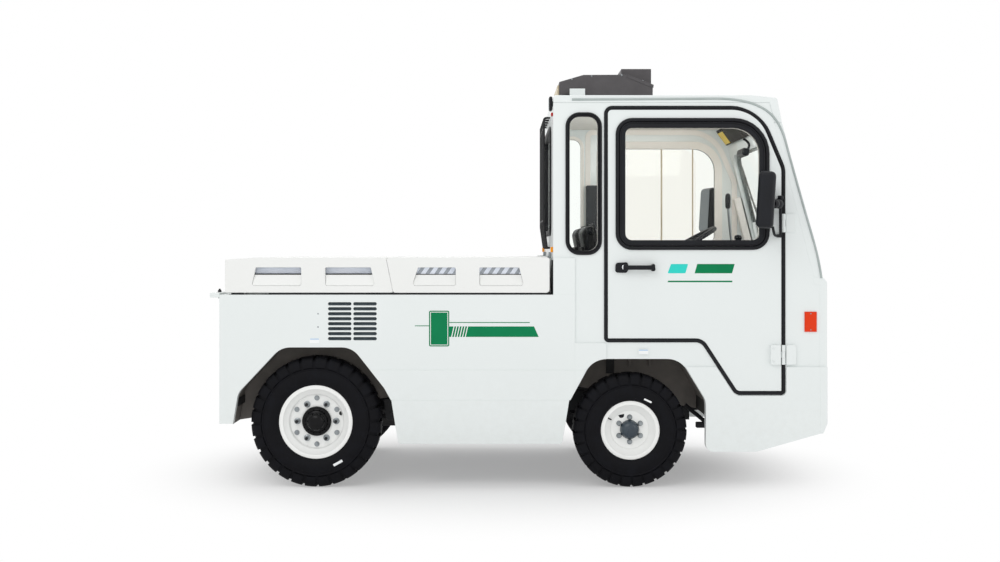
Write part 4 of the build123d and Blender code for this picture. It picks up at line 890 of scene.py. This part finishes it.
# Rear face of the cab: one work lamp with its bracket, marker lamps beneath it.
piece("work_lamp", joined([
    block((157, -712, 1950), (174, -640, 2022), 7, 4), block((172, -690, 1975), (179, -662, 1998), 1),
]), black_abs)
piece("work_lamp_lens", block((154, -702, 1958), (158, -650, 2014), 1.8), lamp_clear)
twin("red_marker", lambda: block((167, 650, 1922), (178, 700, 1940), 4, 3), red_acrylic)
twin("amber_marker", lambda: block((165, 650, 1216), (178, 700, 1244), 4, 3), amber_acrylic)

# ---------------------------------------------------------------- roof unit
ROOF_SCREWS = [(291, 400, 2150), (398, 400, 2167), (674, 400, 2141), (560, 400, 2172)]
twin("roof_unit_screws", lambda: copies(lambda: screw(5, 3), ROOF_SCREWS), zinc_bright)
twin("roof_unit_flange", lambda: plate(
    [(590, 2158, 2), (731, 2103, 2), (733, 2120, 2), (594, 2175, 2)], 399.5, 403, 0.8), roof_grey)
piece("roof_unit_end", block((214, -380, 2034), (223, 380, 2120), 2), beige_cap)
piece("roof_unit_gland", joined([
    tube([(300, -404, 2060), (262, -424, 2062), (236, -424, 2052), (230, -410, 2030)], 9, "NURBS"),
    lathe([(0, 0), (0, 16), (10, 16), (14, 12), (22, 11), (22, 0)], (300, -400, 2060), "-Y", 20),
]), black_abs)

# ---------------------------------------------------------------- battery body
LOUVRES = [(x, 951 - 25.6 * row) for x in (-921.5, -791.5) for row in range(8)]
twin("louvre_blades", lambda: joined([
    moved(block((-59, -1, -13), (59, 1, 13)), on(x, 722, z) @ turned(38, "X"))
    for x, z in LOUVRES
]), louvre_grey)
twin("louvre_backing", lambda: block((-992, 688, 756), (-722, 699, 972), 2), chassis_black)
twin("service_dots", lambda: copies(
    lambda: lathe([(-3, 0), (-3, 4), (0.6, 4), (1.2, 3), (1.2, 0)], steps=12),
    [(-1033, 740, 900), (-1033, 740, 832)],
), zinc_bright)

# Seal along the top of the battery coaming, and the ribbed lids of the cell boxes inside it.
FLAT = turned(-90, "X")
COAMING = rect(-1395, -13, -660, 660, 6)
piece("coaming_seal", moved(hoop(COAMING, 25, -1104, -1099.5, 1.5), FLAT), seal_rubber)
# The lids take a colour lightened to stand for light through the cut-outs, with a painted blue
# reflection.
twin("cell_boxes", lambda: joined([
    joined([
        block((x, 440, 1105), (end, 694, 1150), 5),
        block((x + 6, 440, 1000), (end - 6, 628, 1106), 4),
    ]) for x, end in ((-1386, -1110), (-1106, -1006), (-1002, -732))
]), painted_light_lid)


# Side cut-outs of the covers. Columns: body, x of the foot's ends and of the top's ends.
CUTOUTS = [
    ("tug", -1376, -1121, -1355, -1121), ("tug", -997, -742, -997, -763),
    ("battery_cover", -550, -325, -519, -325), ("battery_cover", -203, 26, -203, 2),
]
CUTOUT_FOOT, TONGUE_TOP, CUTOUT_TOP = 1044, 1100, 1138
TONGUE_LEAN = 16


def tongue(foot_rear, foot_front, top_rear, top_front):
    """Flap pressed inwards from the foot of a cut-out, up to the box lids' edge."""
    share = (TONGUE_TOP - CUTOUT_FOOT) / (CUTOUT_TOP - CUTOUT_FOOT)
    bm = plate([
        (foot_rear + 1, CUTOUT_FOOT + 1, 11), (foot_front - 1, CUTOUT_FOOT + 1, 11),
        (foot_front - 1 + (top_front - foot_front) * share, TONGUE_TOP, 0),
        (foot_rear + 1 + (top_rear - foot_rear) * share, TONGUE_TOP, 0),
    ], 726, 731)
    for vert in bm.verts:
        rise = vert.co.z / MM - CUTOUT_FOOT
        vert.co.y -= TONGUE_LEAN * MM * rise / (TONGUE_TOP - CUTOUT_FOOT)
    return bm


for index, (body, *ends) in enumerate(CUTOUTS):
    twin("cutout_tongue_%d" % index, lambda: tongue(*ends), cover_white, body)
    # A black strip along the top of each tongue stands for the shadow gap between the tongue and the
    # boxes behind: painted shade.
    twin("cutout_shadow_strip_%d" % index, lambda: block(
        (ends[0] + 14, 706, TONGUE_TOP), (ends[1] - 14, 712, TONGUE_TOP + 4), 0.8), seal_rubber, body)
# Pale panel behind the front cut-outs, lightened and tinted blue, and grey slanting bars on it: painted
# reflection.
twin("painted_reflection_panel", lambda: block((-562, 703, 1102), (36, 706, 1148), 0.8), painted_light_lid, "battery_cover")
twin("painted_reflection_bars", lambda: joined([
    plate([(x, 1104, 0), (x + 21, 1104, 0), (x + 50, 1146, 0), (x + 29, 1146, 0)], 705.5, 707)
    for x in range(-575, 0, 46)
]), painted_reflection_grey, "battery_cover")
SEAM_FOOT, SEAM_TOP = -647, -683
twin("cover_seam_lap", lambda: plate([
    (SEAM_FOOT - 8, 1010, 0), (SEAM_FOOT - 1.5, 1010, 0),
    (SEAM_TOP - 1.5, 1188, 0), (SEAM_TOP - 8, 1188, 0),
], 722, 734.2), cover_white)
# Black strip filling the gap under the covers, standing for the shade in that gap: painted shade.
twin("cover_gap_shade_strip", lambda: block((-1290, 712, 998.4), (168, 731, 1006.5), 1.5), seal_rubber)
twin("cover_front_seal", lambda: block((172.5, 600, 1002), (176.8, 731, 1176), 1), seal_rubber)

GREEN_BAND = [(-358, 781, 1), (102, 781, 1), (78, 835, 1), (-358, 835, 1)]
FLANK = 740


def film(rows, face=FLANK):
    """Cut film on a side panel, 0.4 mm proud of it."""
    return plate(rows, face - 0.5, face + 0.4)


# Flat stripe with a block, a band cut by slashes, and two thin lines.
twin("flank_stripe", lambda: joined([
    film(rect(-535, -462, 836, 840)), film(rect(-462, -358, 732, 916, 8)),
    film(rect(-358, 56, 853, 857)), film(GREEN_BAND),
]), green_film)
twin("flank_stripe_slashes", lambda: joined([
    plate([(x, 780, 0), (x + 4.5, 780, 0), (x + 17, 836, 0), (x + 12.5, 836, 0)],
          FLANK + 0.3, FLANK + 0.7) for x in range(-348, -266, 14)
]), label_film)
twin("flank_block_line", lambda: hoop(
    rect(-462, -358, 732, 916, 8, -6), 3.0, FLANK + 0.3, FLANK + 0.7), label_film)
twin("door_stripe_teal", lambda: film(
    [(766, 1108, 4), (858, 1108, 4), (872, 1156, 4), (784, 1156, 4)], CAB_SIDE,
), teal_film, "door_{side}")
twin("door_stripe_green", lambda: joined([
    film([(905, 1108, 2), (1098, 1108, 2), (1112, 1156, 2), (919, 1156, 2)], CAB_SIDE),
    film([(766, 1062, 1), (1098, 1062, 1), (1101, 1070, 1), (769, 1070, 1)], CAB_SIDE),
]), green_film, "door_{side}")
for label, x, z in (("rear", -1076, 749), ("front", 616, 692)):
    twin(label + "_arch_label", lambda: plate(
        rect(x, x + 50, z, z + 25, 2), FLANK - 0.5, FLANK + 0.3), label_film)
    twin(label + "_arch_label_line", lambda: plate(
        rect(x + 2, x + 48, z + 19, z + 23), FLANK + 0.2, FLANK + 0.5), blue_film)

# ---------------------------------------------------------------- wheel arch liners
REAR_ARCH = [
    (-1471, 334, 2), (-1445, 492, 90), (-1224, 727, 110), (-858, 727, 110), (-694, 520, 60),
    (-658, 456, 2),
]
FRONT_ARCH = [(289, 500, 2), (380, 667, 120), (832, 667, 120), (962, 453, 90), (962, 376, 2)]


def hood(rows, y_in, y_out):
    """Liner that follows an arch, open below, with a wall at its inner side."""
    bm = bmesh.new()
    rows = [(*rows[0][:2], 0), *rows[1:-1], (*rows[-1][:2], 0)]
    outline(bm, rows, 8)
    thicken(bm, y_out, y_in)
    gone = [f for f in bm.faces if all(abs(v.co.y - y_out * MM) < 1e-5 for v in f.verts)]
    foot = [(rows[0][0], rows[0][1]), (rows[-1][0], rows[-1][1])]
    gone += [
        f for f in bm.faces
        if all(min(math.hypot(v.co.x / MM - x, v.co.z / MM - z) for x, z in foot) < 1 for v in f.verts)
    ]
    bmesh.ops.delete(bm, geom=gone, context="FACES")
    bmesh.ops.recalc_face_normals(bm, faces=bm.faces)
    bmesh.ops.solidify(bm, geom=bm.faces, thickness=-3 * MM)
    return bm


twin("rear_arch_liner", lambda: hood(grown(REAR_ARCH, 5), 520, 701), arch_grey)
twin("front_arch_liner", lambda: hood(grown(FRONT_ARCH, 5), 366, 691), arch_grey)
HANGER = [(-700, 330, 20), (-640, 330, 20), (-620, 440, 6), (-712, 440, 6)]
twin("spring_hanger", lambda: joined([
    plate(HANGER, 480, 492, 2), plate(HANGER, 540, 552, 2),
    lathe([(0, 0), (0, 24), (70, 24), (70, 10), (84, 10), (84, 0)], (-668, 478, 362), "Y", 28),
]), chassis_black)
twin("front_stay", lambda: joined([
    tube([(902, 398, 392), (950, 398, 352), (1010, 398, 302)], 11, "NURBS"),
    tube([(914, 420, 372), (960, 420, 334), (1000, 420, 312)], 5, "NURBS"),
    block((960, 384, 270), (1016, 424, 300), 5),
]), chassis_black)
twin("arch_strap", lambda: block((478, 372, 560), (520, 384, 672), 2), chassis_black)
twin("arch_ribs", lambda: joined([
    block((x, 372, 600), (x + 14, 392, 646), 3) for x in (598, 706)
]), arch_grey)

# ---------------------------------------------------------------- rear end
LEDGE_BOLTS_Y = range(-600, 601, 300)
piece("ledge_bolts", copies(
    lambda: hex_bolt(17, 11, "Z", 6), [(-1568, y, 1008) for y in LEDGE_BOLTS_Y],
), chassis_black)
piece("ledge_bolt_ends", copies(
    lambda: moved(hex_bolt(15, 9, "Z"), turned(180, "X")), [(-1568, y, 983) for y in LEDGE_BOLTS_Y],
), zinc_bright)
twin("rear_lamp_body", lambda: block((-1549, 520, 800), (-1541, 660, 880), 3, 3), black_abs,
     replaces=["rear_lamps"])
for colour, inner, outer, finish in (
    ("red", 592, 656, red_acrylic), ("amber", 556, 590, amber_acrylic), ("clear", 524, 554, lamp_clear),
):
    twin("rear_lamp_" + colour, lambda: block((-1555, inner, 804), (-1547, outer, 876), 3, 3), finish)
piece("plate_holder", block((-1548, -262, 640), (-1541, 262, 762), 3), black_abs)
piece("blank_plate", block((-1551, -255, 646), (-1547.5, 255, 756), 1.2), label_film)
piece("plate_lamp", block((-1566, -46, 764), (-1541, 46, 790), 6, 3), black_abs)

# ---------------------------------------------------------------- front end
twin("headlamp_bezel", lambda: moved(
    hoop(rect(455, 665, 813, 957, 40, 3), 13, -1590, -1580, 3.0), BACKWARDS), black_abs)
twin("headlamp_bowl", lambda: moved(joined([
    lathe([(0, 52), (0, 60), (22, 52), (36, 34), (42, 0), (34, 0), (28, 26), (14, 46)]),
    lathe([(36, 0), (36, 9), (16, 9), (10, 5), (10, 0)], steps=20),
]), BACKWARDS @ on(520, -1576, 885)), chrome)
twin("headlamp_turn_bowl", lambda: moved(
    lathe([(0, 24), (0, 30), (16, 24), (22, 0), (16, 0), (10, 18)], steps=32),
    BACKWARDS @ on(620, -1574, 885)), amber_acrylic)
twin("headlamp_housing", lambda: block((1536, 452, 810), (1550, 668, 960), 4), black_abs)
piece("bumper_strip", block((1583, -560, 430), (1589.5, 560, 492), 2.5, 3), seal_rubber)
piece("front_grille_frame", moved(
    hoop(rect(-300, 300, 640, 742, 18), 12, -1589.5, -1585, 2.0), BACKWARDS), black_abs)
piece("front_grille_bars", joined([
    block((1585.5, -290, 652 + 16 * row), (1589, 290, 660 + 16 * row), 1.5) for row in range(6)
]), black_abs)
piece("front_grille_back", block((1587.2, -290, 650), (1588.2, 290, 732)), chassis_black)
twin("side_reflector_lens", lambda: plate(
    rect(1474, 1530, 810, 907, 5), 735, 738.5, 1.0), orange_acrylic)
twin("side_reflector_screws", lambda: copies(
    lambda: screw(3.5, 2), [(1502, 738.5, 817), (1502, 738.5, 900)]), zinc_bright)

# ---------------------------------------------------------------- cab interior
# Inflated pads: mesh spacing, cloth pressure, frames it acts for, and how far a point may move.
PAD_VOXEL, PAD_PRESSURE, PAD_FRAMES, PAD_CAP = 7, 4.0, 20, 9


def swollen(bm):
    """Closed shape remeshed and blown up by cloth pressure, no point moving past the cap."""
    mesh = bpy.data.meshes.new("pad")
    bm.to_mesh(mesh)
    bm.free()
    holder = bpy.data.objects.new("pad", mesh)
    bpy.context.scene.collection.objects.link(holder)
    remesh = holder.modifiers.new("Remesh", "REMESH")
    remesh.mode = "VOXEL"
    remesh.voxel_size = PAD_VOXEL * MM
    graph = bpy.context.evaluated_depsgraph_get()
    start = bpy.data.meshes.new_from_object(holder.evaluated_get(graph))
    holder.modifiers.clear()
    holder.data = start
    cloth = holder.modifiers.new("Cloth", "CLOTH")
    cloth.settings.use_pressure = True
    cloth.settings.uniform_pressure_force = PAD_PRESSURE
    cloth.settings.effector_weights.gravity = 0.0
    cloth.point_cache.frame_start = 1
    cloth.point_cache.frame_end = PAD_FRAMES
    for frame_number in range(1, PAD_FRAMES + 1):
        bpy.context.scene.frame_set(frame_number)
    graph = bpy.context.evaluated_depsgraph_get()
    blown = bpy.data.meshes.new_from_object(holder.evaluated_get(graph))
    for vert, goal in zip(start.vertices, blown.vertices):
        step = goal.co - vert.co
        vert.co += step * min(1.0, PAD_CAP * MM / max(step.length, 1e-9))
    holder.modifiers.clear()
    bpy.context.scene.frame_set(1)
    out = bmesh.new()
    out.from_mesh(start)
    bpy.data.objects.remove(holder)
    bmesh.ops.smooth_vert(
        out, verts=out.verts, factor=0.5, use_axis_x=True, use_axis_y=True, use_axis_z=True
    )
    return out


CHANNEL_DEPTH, CHANNEL_HALF = 8, 15
X, Z = 0, 2


def channelled(bm, lines, along, face_axis, face_from):
    """Sewn channels pressed into one face of a pad, at lines along another axis."""
    for vert in bm.verts:
        if vert.co[face_axis] * TO_MM < face_from:
            continue
        for line in lines:
            off = abs(vert.co[along] * TO_MM - line)
            if off < CHANNEL_HALF:
                press = 0.5 + 0.5 * math.cos(math.pi * off / CHANNEL_HALF)
                vert.co[face_axis] -= press * CHANNEL_DEPTH * MM
    return bm


SEAT_ROW_Y = 330
# The backrest's crown: where it starts, its height, and the share it narrows by.
CROWN_FROM, CROWN_HEIGHT, CROWN_NARROWING = 250, 100, 0.10


def seat_cushion():
    """Seat cushion with three sewn cross channels, on the middle plane."""
    bm = swollen(block((397, -214, 876), (851, 214, 968), 30, 4))
    return channelled(bm, [515, 635, 755], X, Z, 935)


def seat_back():
    """Backrest pad before it leans: narrower at the top, with two sewn channels."""
    bm = block((14, -200, 8), (84, 200, 350), 28, 4)
    for vert in bm.verts:
        top = max(0.0, vert.co.z - CROWN_FROM * MM) / (CROWN_HEIGHT * MM)
        vert.co.y *= 1 - CROWN_NARROWING * top
    return channelled(swollen(bm), [120, 235], Z, X, 60)


BACK_PLACE = on(397, 0, 1010) @ turned(-12, "Y")
pads = {}
for name, shape in (("seat_cushion_", seat_cushion()), ("seat_back_", moved(seat_back(), BACK_PLACE))):
    pads[name] = bpy.data.meshes.new(name + "form")
    shape.to_mesh(pads[name])
for side, sign in SIDES.items():
    y = sign * SEAT_ROW_Y
    for name, form in pads.items():
        bm = bmesh.new()
        bm.from_mesh(form)
        pad = piece(name + side, moved(bm, on(0, y, 0)), seat_black, replaces=["seat_pads"],
                    smooth=60, weighted=False)
        curve = pad.modifiers.new("Subdivision", "SUBSURF")
        curve.levels = curve.render_levels = 1
    piece("seat_piping_" + side, joined([
        moved(hoop(rect(401, 847, -210, 210, 34, 2), 7, -973, -966, 2.5), on(0, y, 0) @ FLAT),
        moved(hoop(rect(-204, 204, 6, 352, (34, 34, 44, 44)), 7, -80, -73, 2.5),
              on(0, y, 0) @ BACK_PLACE @ BACKWARDS),
    ]), seal_rubber)
    piece("seat_slides_" + side, joined([
        block((375, y - 170, 846), (800, y - 140, 868), 3),
        block((375, y + 140, 846), (800, y + 170, 868), 3),
        tube([(800, y - 160, 858), (845, y - 160, 852), (845, y + 160, 852), (800, y + 160, 858)],
             6),
    ]), zinc_bright)
    piece("seat_armrests_" + side, joined([
        joined([
            tube([(345, y + off, 1130), (375, y + off, 1190), (465, y + off, 1214)], 10, "NURBS"),
            block((345, y + off - 24, 1196), (605, y + off + 24, 1226), 12, 3),
            lathe([(-26, 0), (-26, 22), (-18, 27), (18, 27), (26, 22), (26, 0)],
                  (363, y + off, 1160), "Y", 24),
            lathe([(-14, 0), (-14, 18), (-8, 22), (8, 22), (14, 18), (14, 0)],
                  (375, y + off, 1330), "X", 20),
            tube([(363, y + off, 1165), (367, y + off, 1330)], 7),
        ]) for off in (-246, 246)
    ]), black_abs)

WHEEL_PLACE = on(1019, 330, 1268) @ turned(-29, "Y")


# Grip section and ring radius, and the count and depth of the finger scallops.
GRIP, GRIP_RING, SCALLOPS, SCALLOP_DEPTH = 14, 180, 48, 2.2


def steering_rim():
    """Grip ring with finger scallops on its underside."""
    turns = [math.pi * k / 6 for k in range(12)]
    bm = lathe([(GRIP * math.sin(a), GRIP_RING + GRIP * math.cos(a)) for a in turns],
               axis="Z", steps=96)
    for vert in bm.verts:
        turn = math.atan2(vert.co.y, vert.co.x)
        if vert.co.z < -6 * MM:
            vert.co.z += SCALLOP_DEPTH * MM * (0.5 + 0.5 * math.cos(turn * SCALLOPS))
    return bm


piece("steering_wheel_rim", moved(joined([
    steering_rim(),
    *[moved(tube([(30, 0, -8), (90, 0, -16), (168, 0, -3)], 10, "NURBS"), turned(a, "Z"))
      for a in (90, 210, 330)],
    lathe([
        (-40, 11.2), (-40, 30), (-30, 34), (-4, 40), (4, 38), (12, 26), (14, 0), (8, 0), (8, 11.2),
    ], axis="Z"),
]), WHEEL_PLACE), black_abs, "steering_wheel", ["steering_wheel"])
piece("steering_wheel_badge", moved(
    lathe([(12, 0), (12, 22), (15.5, 21), (17, 14), (17.5, 0)], axis="Z", steps=40),
    WHEEL_PLACE), dash_grey, "steering_wheel")
piece("column_stalks", moved(joined([
    lathe([(-170, 26.4), (-170, 44), (-60, 50), (-48, 40), (-48, 26.4)], axis="Z", steps=32),
    tube([(0, 40, -80), (10, 120, -70), (14, 190, -56)], 6, "NURBS"),
    tube([(0, -40, -80), (10, -120, -70), (14, -190, -56)], 6, "NURBS"),
]), WHEEL_PLACE), black_abs)

# Drive lever, hand lever and their boots on the dashboard.
piece("lever_shafts", joined([
    tube([(1250, 60, 1180), (1226, 60, 1300), (1214, 60, 1475)], 7, "NURBS"),
    tube([(1262, -60, 1180), (1250, -60, 1290)], 6),
]), zinc_bright)
piece("lever_grips", joined([
    lathe([(-2, 0), (-2, 9), (4, 14), (20, 15), (54, 16), (76, 14), (84, 8), (86, 0)],
          (1213, 60, 1468), "Z", 28),
    lathe([(-12, 0), (-12, 16), (-4, 22), (8, 22), (16, 14), (18, 0)], (1250, -60, 1296), "Z", 28),
    lathe([(0, 0), (0, 36), (8, 34), (16, 22), (24, 20), (32, 12), (40, 10), (40, 0)],
          (1252, 60, 1168), "Z", 32),
    lathe([(0, 0), (0, 30), (8, 28), (16, 18), (30, 9), (30, 0)], (1262, -60, 1186), "Z", 32),
]), black_abs)
piece("lever_button", block((1201, 54, 1498), (1206, 66, 1512), 2), red_acrylic)

# Instrument pod, switches and vents.
POD_TILT = turned(-8, "Y")
piece("instrument_pod", moved(
    block((-50, -150, 0), (60, 150, 58), 18, 4), on(1330, 330, 1182) @ POD_TILT), dash_grey)
piece("instrument_glass", moved(
    plate(rect(-120, 120, -18, 18, 8), 0, 3, 0.8),
    on(1281, 330, 1216) @ POD_TILT @ BACKWARDS @ on(0, -2, 0)), screen_glass)
piece("dash_switches", joined([
    block((1233, y - 11, 1078), (1242, y + 11, 1112), 3, 3) for y in (120, 90, 60, 30, 0, -30)
]), black_abs)
piece("dash_vents", joined([
    moved(joined([hoop(rect(-52, 52, -26, 26, 6), 6, 0, 6, 1.5)]
                 + [block((-48, 1, z - 1.5), (48, 5, z + 1.5)) for z in (-14, -5, 4, 13)]),
          on(1240, y, 1080) @ BACKWARDS) for y in (560, -160, -360, -560)
]), black_abs)
piece("glove_box", joined([
    block((1236, -470, 1000), (1241, -210, 1052), 2),
    block((1232, -350, 1038), (1238, -326, 1048), 1.5),
]), dash_grey)
piece("floor_mat", joined([
    block((1000, -640, 480), (1500, 640, 486), 2),
    *[block((1010, y - 4, 485), (1490, y + 4, 489), 1) for y in range(-620, 640, 40)],
]), floor_mat)
piece("pedal_rubbers", joined([
    block((1380, 205, 592), (1388, 275, 650), 3), block((1380, 105, 592), (1388, 155, 700), 3),
]), seal_rubber)

# Roof lining, sun visors, mirror, pillar trims and the parts seen through the windows.
VISOR_PLACE = on(1240, 0, 1956) @ turned(-36, "Y")
piece("roof_lining", block((226, -676, 1974), (1330, 676, 1985), 4), trim_white)
twin("sun_visor", lambda: moved(joined([
    block((-6, 12, -105), (6, 600, 0), 5, 3), tube([(0, 20, 0), (0, 590, 0)], 7),
]), VISOR_PLACE), visor_grey)
piece("visor_label", moved(block((-8, 430, -95), (-5.5, 590, -12), 1), VISOR_PLACE), yellow_film)
piece("cab_mirror", joined([
    tube([(1290, 0, 1862), (1322, 0, 1846), (1324, 0, 1806), (1300, 0, 1784)], 7, "NURBS"),
    moved(block((-22, -95, -21), (20, 95, 21), 12, 4), on(1290, 0, 1782) @ turned(12, "Y")),
]), black_abs)
twin("door_pillar_trim", lambda: block((436, 640, 740), (506, 688, 1628), 8), dash_grey)
twin("screen_pillar_trim", lambda: moved(
    block((-22, 640, 0), (22, 684, 470), 8), on(1486, 0, 1096) @ Matrix.Rotation(-LEAN, 4, "Y"),
), trim_white)
piece("door_strut", tube([(1240, -672, 1276), (1222, -672, 1372)], 9), label_film, "door_right")

# ---------------------------------------------------------------- stage, light and camera
CAMERA_PLACE = Vector((-97.0, -7540.0, 1228.0)) * MM
FLOOR_SIZE = 30.0
# The floor keeps the object's shadow inside an ellipse of these half lengths, lifted there by a share
# of painted glow, and beyond it glows plain white, which paints the shadow out: painted light.
SHADOW_X, SHADOW_Y = 2.15, 1.9
scene = bpy.context.scene
scene.view_settings.view_transform = "Standard"

floor_bm = bmesh.new()
bmesh.ops.create_grid(floor_bm, x_segments=1, y_segments=1, size=FLOOR_SIZE)
floor_mesh = bpy.data.meshes.new("studio_floor")
floor_bm.to_mesh(floor_mesh)
floor_bm.free()
studio_floor = bpy.data.objects.new("studio_floor", floor_mesh)
scene.collection.objects.link(studio_floor)
floor_paint = bpy.data.materials.new("white_floor_with_painted_glow")
floor_paint.use_nodes = True
tree = floor_paint.node_tree
tree.nodes.clear()
out = tree.nodes.new("ShaderNodeOutputMaterial")
place = add(tree, "TexCoord").outputs["Object"]
flat = add(tree, "Mapping", {"Scale": (1 / SHADOW_X, 1 / SHADOW_Y, 0.0), "Location": (0.04, 0.05, 0.0)},
           {"Vector": place}, vector_type="POINT").outputs["Vector"]
away = add(tree, "VectorMath", {}, {0: flat}, operation="LENGTH").outputs["Value"]
# Share of the floor's painted glow: 0.32 inside the ellipse, which lifts the shadow, rising smoothly to
# full glow beyond it.
fade = add(tree, "MapRange", {"From Min": 0.45, "From Max": 1.0, "To Min": 0.32},
           {"Value": away}, interpolation_type="SMOOTHSTEP").outputs["Result"]
matt = add(tree, "BsdfDiffuse", {"Color": linear("f4f4f4")}).outputs[0]
white = add(tree, "Emission", {"Color": (1, 1, 1, 1), "Strength": 1.0}).outputs[0]
blend = add(tree, "MixShader", {}, {0: fade, 1: matt, 2: white})
tree.links.new(blend.outputs[0], out.inputs["Surface"])
floor_mesh.materials.append(floor_paint)

world = bpy.data.worlds.new("white_studio")
scene.world = world
world.use_nodes = True
tree = world.node_tree
tree.nodes.clear()
out = tree.nodes.new("ShaderNodeOutputWorld")
rays = add(tree, "LightPath").outputs
seen = add(tree, "Math", {}, {0: rays["Is Camera Ray"], 1: rays["Is Transmission Ray"]},
           operation="MAXIMUM").outputs["Value"]
seen = add(tree, "Math", {}, {0: seen, 1: rays["Is Glossy Ray"]},
           operation="MAXIMUM").outputs["Value"]
strength = add(tree, "MapRange", {"To Min": 0.64, "To Max": 1.0}, {"Value": seen}).outputs["Result"]
sky = add(tree, "Background", {"Color": linear("ffffff")}, {"Strength": strength})
tree.links.new(sky.outputs[0], out.inputs["Surface"])


def lamp(name, place, target, size, power):
    """Soft rectangular lamp that looks at a point."""
    data = bpy.data.lights.new(name, "AREA")
    data.shape = "RECTANGLE"
    data.size, data.size_y = size
    data.energy = power
    obj = bpy.data.objects.new(name, data)
    obj.location = place
    obj.rotation_euler = (Vector(target) - Vector(place)).to_track_quat("-Z", "Y").to_euler()
    scene.collection.objects.link(obj)
    return obj


lamp("key_softbox", (-2.2, -5.2, 5.0), (0.0, -0.4, 0.8), (4.0, 3.0), 84)
lamp("fill_softbox", (5.0, -3.6, 3.2), (0.8, 0.0, 1.0), (3.0, 3.0), 30)
lamp("top_softbox", (0.0, 0.4, 5.6), (0.0, 0.0, 0.0), (5.0, 4.0), 44)
lamp("back_softbox", (-1.0, 5.0, 4.2), (0.0, 0.4, 0.8), (4.0, 3.0), 44)
# Low front light that reaches through the near windows to the far side of the cab.
lamp("window_fill", (0.4, -6.6, 1.5), (0.6, 0.0, 1.5), (3.0, 1.6), 18).visible_glossy = False
# Small lamp inside the cab under the roof, turned to the far door.
lamp("cab_fill", (0.82, -0.30, 1.86), (0.82, 0.72, 1.35), (0.7, 0.25), 3.4)

camera_data = bpy.data.cameras.new("side_camera")
camera_data.sensor_width = 36.0
camera_data.lens = 47.6
camera_data.shift_y = -0.031
camera_data.clip_end = 200.0
camera = bpy.data.objects.new("side_camera", camera_data)
camera.location = CAMERA_PLACE
camera.rotation_euler = (math.pi / 2, 0, 0)
scene.collection.objects.link(camera)
scene.camera = camera
